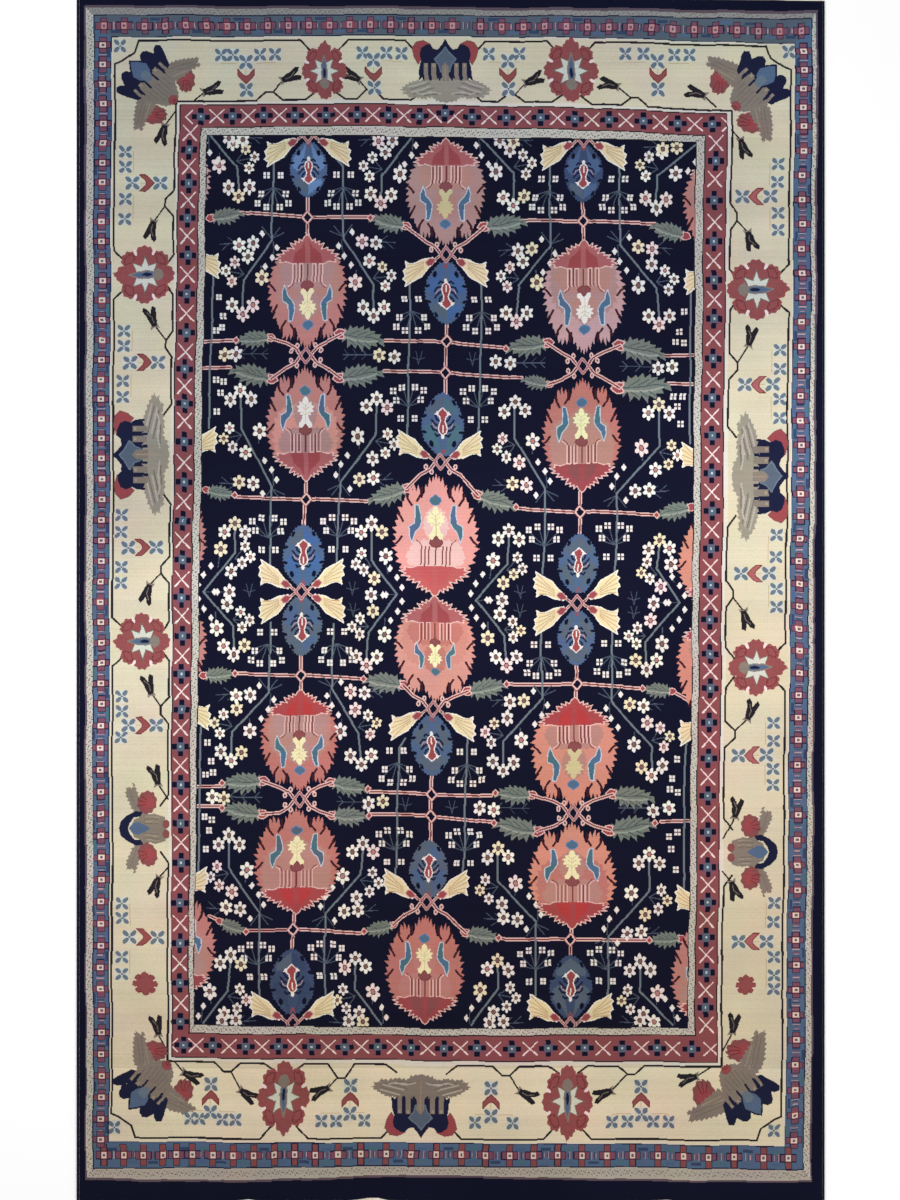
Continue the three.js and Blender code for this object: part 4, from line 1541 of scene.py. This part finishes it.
def foundation(material):
    """The woven back: one closed cotton sheet under the pile, from side to side and end to end."""
    steps = 96
    vertices = []
    for z in (0.0, FOUNDATION):
        for i in range(steps + 1):
            x = CLOTH_LEFT + (CLOTH_RIGHT - CLOTH_LEFT) * i / steps
            vertices += [(x, float(bottom_y(x)), z), (x, float(top_y(x)), z)]
    faces = []
    layer = 2 * (steps + 1)
    for i in range(steps):
        a = 2 * i
        faces.append((a, a + 1, a + 3, a + 2))
        faces.append((layer + a, layer + a + 2, layer + a + 3, layer + a + 1))
        faces.append((a, a + 2, layer + a + 2, layer + a))
        faces.append((a + 1, layer + a + 1, layer + a + 3, a + 3))
    faces.append((0, layer, layer + 1, 1))
    last = 2 * steps
    faces.append((last, last + 1, layer + last + 1, layer + last))
    return new_object("foundation", vertices, faces, [material])


WRAP_PITCH = 0.0034
CORD_SIDES = 10


def side_cord(side, name, material):
    """An overcast edge: yarn wrapped round and round two stout warps."""
    width = CORD_WIDTHS["left" if side < 0 else "right"]
    height = 0.008
    inner = side * (CARPET_WIDTH / 2 - width)
    low, high = float(bottom_y(inner)), float(top_y(inner))
    wraps = int((high - low) / WRAP_PITCH)
    rings = 2 * wraps + 1
    vertices = []
    for k in range(rings):
        ridge = 1.0 if k % 2 else 0.86
        uneven = 1 - 0.05 * (0.5 + 0.5 * math.sin(k * 0.37 + 2 * math.sin(k * 0.031)))
        for i in range(CORD_SIDES):
            angle = 2 * math.pi * (i + 0.5) / CORD_SIDES
            out = width / 2 * (1 + math.cos(angle) * ridge * uneven)
            up = max(0.0, height / 2 * (1 + math.sin(angle) * ridge * uneven))
            lean = 0.0012 * math.cos(angle)
            y = low + (high - low) * k / (rings - 1)
            y = min(max(y + lean, low), high)
            vertices.append((inner + side * out, y, up))
    faces = []
    for k in range(rings - 1):
        for i in range(CORD_SIDES):
            a, b = k * CORD_SIDES + i, k * CORD_SIDES + (i + 1) % CORD_SIDES
            face = (a, b, b + CORD_SIDES, a + CORD_SIDES)
            faces.append(face if side < 0 else face[::-1])
    first = tuple(range(CORD_SIDES))
    last = tuple((rings - 1) * CORD_SIDES + i for i in range(CORD_SIDES))
    faces += [first[::-1], last] if side < 0 else [first, last[::-1]]
    obj = new_object(name, vertices, faces, [material])
    for polygon in obj.data.polygons:
        polygon.use_smooth = True
    return obj


def scatter(i, seed):
    wave = math.sin(i * 12.9898 + seed * 78.233) * 43758.5453
    return wave - math.floor(wave)


STRIP_DEPTH = 0.009
STRIP_HEIGHT = 0.0022
LOCKS = 100
HALF_REACH = 2.512
YARNS = 4


def fringe(way, end_y, seed, name, material):
    """The warp ends past the last knots: a narrow woven strip and its strands of twisted cotton."""
    left = -CARPET_WIDTH / 2 + CORD_WIDTHS["left"]
    right = CARPET_WIDTH / 2 - CORD_WIDTHS["right"]
    vertices, faces = [], []
    steps = 600
    profile = ((0, 0.0), (0, 1.0), (0.16, 0.75), (0.33, 1.0), (0.5, 0.75), (0.66, 1.0), (0.83, 0.75),
               (1, 0.9), (1, 0.0))
    for i in range(steps + 1):
        x = left + (right - left) * i / steps
        near = float(end_y(x)) + way * GAP
        tuck = 0.86 if i % 2 else 1.0
        for out, up in profile:
            vertices.append((x, near + way * STRIP_DEPTH * out, STRIP_HEIGHT * up * tuck))
    n = len(profile)
    for i in range(steps):
        for k in range(n):
            a, b = i * n + k, i * n + (k + 1) % n
            face = (a, b, b + n, a + n)
            faces.append(face[::-1] if way > 0 else face)
    first, last = tuple(range(n)), tuple(steps * n + k for k in range(n))
    faces += [first, last[::-1]] if way > 0 else [first[::-1], last]
    pitch = (CARPET_WIDTH - 0.04) / LOCKS
    wear = [(0.5 + 0.5 * math.sin(i * 0.11 + 2 * seed)) * 0.45 + 0.55 * scatter(i, seed)
            for i in range(LOCKS)]
    least = min(wear)
    for i, worn in enumerate(wear):
        root_x = (i - (LOCKS - 1) / 2) * pitch + 0.003 * (scatter(i, seed + 3) - 0.5)
        strip_end = float(end_y(root_x)) + way * (GAP + STRIP_DEPTH)
        longest = HALF_REACH - way * strip_end
        free = longest + (0.009 - longest) * (worn - least)
        swing = 0.009 * (scatter(i, seed + 7) - 0.5)
        for j in range(YARNS):
            yarn = i * YARNS + j
            spread_x = (j - (YARNS - 1) / 2) * 0.0042
            tip = free * (0.72 + 0.28 * scatter(yarn, seed + 11))
            lean = swing + 0.008 * (scatter(yarn, seed + 13) - 0.5)
            strand(vertices, faces, root_x + spread_x, strip_end - way * 0.004, way, tip + 0.004, lean,
                   scatter(yarn, seed + 17))
    return new_object(name, vertices, faces, [material])


def strand(vertices, faces, x, y, way, length, lean, phase):
    """One warp end: a thin twisted yarn that lies on the floor, with a frayed tip."""
    sides, rings = 5, 9
    start = len(vertices)
    for k in range(rings):
        t = k / (rings - 1)
        radius = 0.0011 * (1 - 0.45 * t) * (1 + 0.12 * math.sin(9 * t + 6 * phase))
        middle = x + lean * t * t + 0.0008 * math.sin(5 * t + 6 * phase)
        lift = 0.0012 * (1 - t)
        for i in range(sides):
            angle = 2 * math.pi * i / sides + 2.2 * t
            vertices.append((middle + radius * math.cos(angle), y + way * length * t,
                             max(0.0, radius + lift + radius * math.sin(angle))))
    for k in range(rings - 1):
        for i in range(sides):
            a, b = start + k * sides + i, start + k * sides + (i + 1) % sides
            face = (a, b, b + sides, a + sides)
            faces.append(face if way < 0 else face[::-1])
    first = tuple(start + i for i in range(sides))
    last = tuple(start + (rings - 1) * sides + i for i in range(sides))
    faces += [first[::-1], last] if way < 0 else [first, last[::-1]]


FLOOR_REACH = 14.0
LENS, SENSOR = 100, 36
# The soft lights: name, place, power and size.
LIGHTS = (("key", (-3.5, 2.5, 6.0), 300, 5.0), ("fill", (4.5, -3.0, 6.0), 185, 6.0))
# The photograph's height in pixels, which the camera frames.
PHOTO_HEIGHT = 1200


def studio():
    """Pale floor, soft light from above and a long lens straight overhead."""
    floor_material = Nodes("floor")
    floor_material.shader.inputs["Base Color"].default_value = (0.97, 0.97, 0.97, 1)
    floor_material.shader.inputs["Specular IOR Level"].default_value = 0
    floor_material.shader.inputs["Roughness"].default_value = 0.9
    corners = [(FLOOR_REACH * u, FLOOR_REACH * v, 0) for u, v in ((-1, -1), (1, -1), (1, 1), (-1, 1))]
    floor = new_object("floor", corners, [(0, 1, 2, 3)], [floor_material.material])
    world = bpy.data.worlds.new("studio")
    world.use_nodes = True
    world.node_tree.nodes["Background"].inputs["Color"].default_value = (1, 1, 1, 1)
    world.node_tree.nodes["Background"].inputs["Strength"].default_value = 0.55
    bpy.context.scene.world = world
    for name, place, power, size in LIGHTS:
        light = bpy.data.lights.new(name, "AREA")
        light.energy = power
        light.size = size
        obj = bpy.data.objects.new(name, light)
        obj.location = place
        obj.rotation_euler = Vector(place).to_track_quat("Z", "Y").to_euler()
        bpy.context.scene.collection.objects.link(obj)
    camera = bpy.data.cameras.new("camera")
    camera.lens = LENS
    camera.sensor_width = SENSOR
    camera.clip_end = 200
    camera_object = bpy.data.objects.new("camera", camera)
    distance = PHOTO_HEIGHT * UNIT / 2 / (SENSOR / 2 / LENS)
    camera_object.location = ((MIDDLE_X - (LEFT + RIGHT) / 2) * UNIT, 0, THICKNESS + distance)
    bpy.context.scene.collection.objects.link(camera_object)
    bpy.context.scene.camera = camera_object
    bpy.context.scene.view_settings.view_transform = "Standard"


def build():
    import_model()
    studio()
    paint_chart()
    colours, zones = wander(chart, zone_map())
    pile_wool = wool("pile_wool")
    cord_wool = wool("selvedge_wool", (24, 24, 40))
    warp = cotton("warp_cotton")
    back = foundation(cotton("back_cotton"))
    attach(back, "root")
    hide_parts("rug")
    piles = [pile_piece(zone, colours, zones, pile_wool) for zone in range(len(ZONES))]
    for piece in piles:
        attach(piece, "root")
        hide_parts("rug")
    for side, name in ((-1, "side_cord_left"), (1, "side_cord_right")):
        piece = side_cord(side, "wrapped_" + name, cord_wool)
        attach(piece, "root")
        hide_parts(name)
    for way, end_y, seed, name in ((1, top_y, 1, "fringe_top"), (-1, bottom_y, 2, "fringe_bottom")):
        piece = fringe(way, end_y, seed, "warps_" + name, warp)
        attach(piece, "root")
        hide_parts(name)


build()
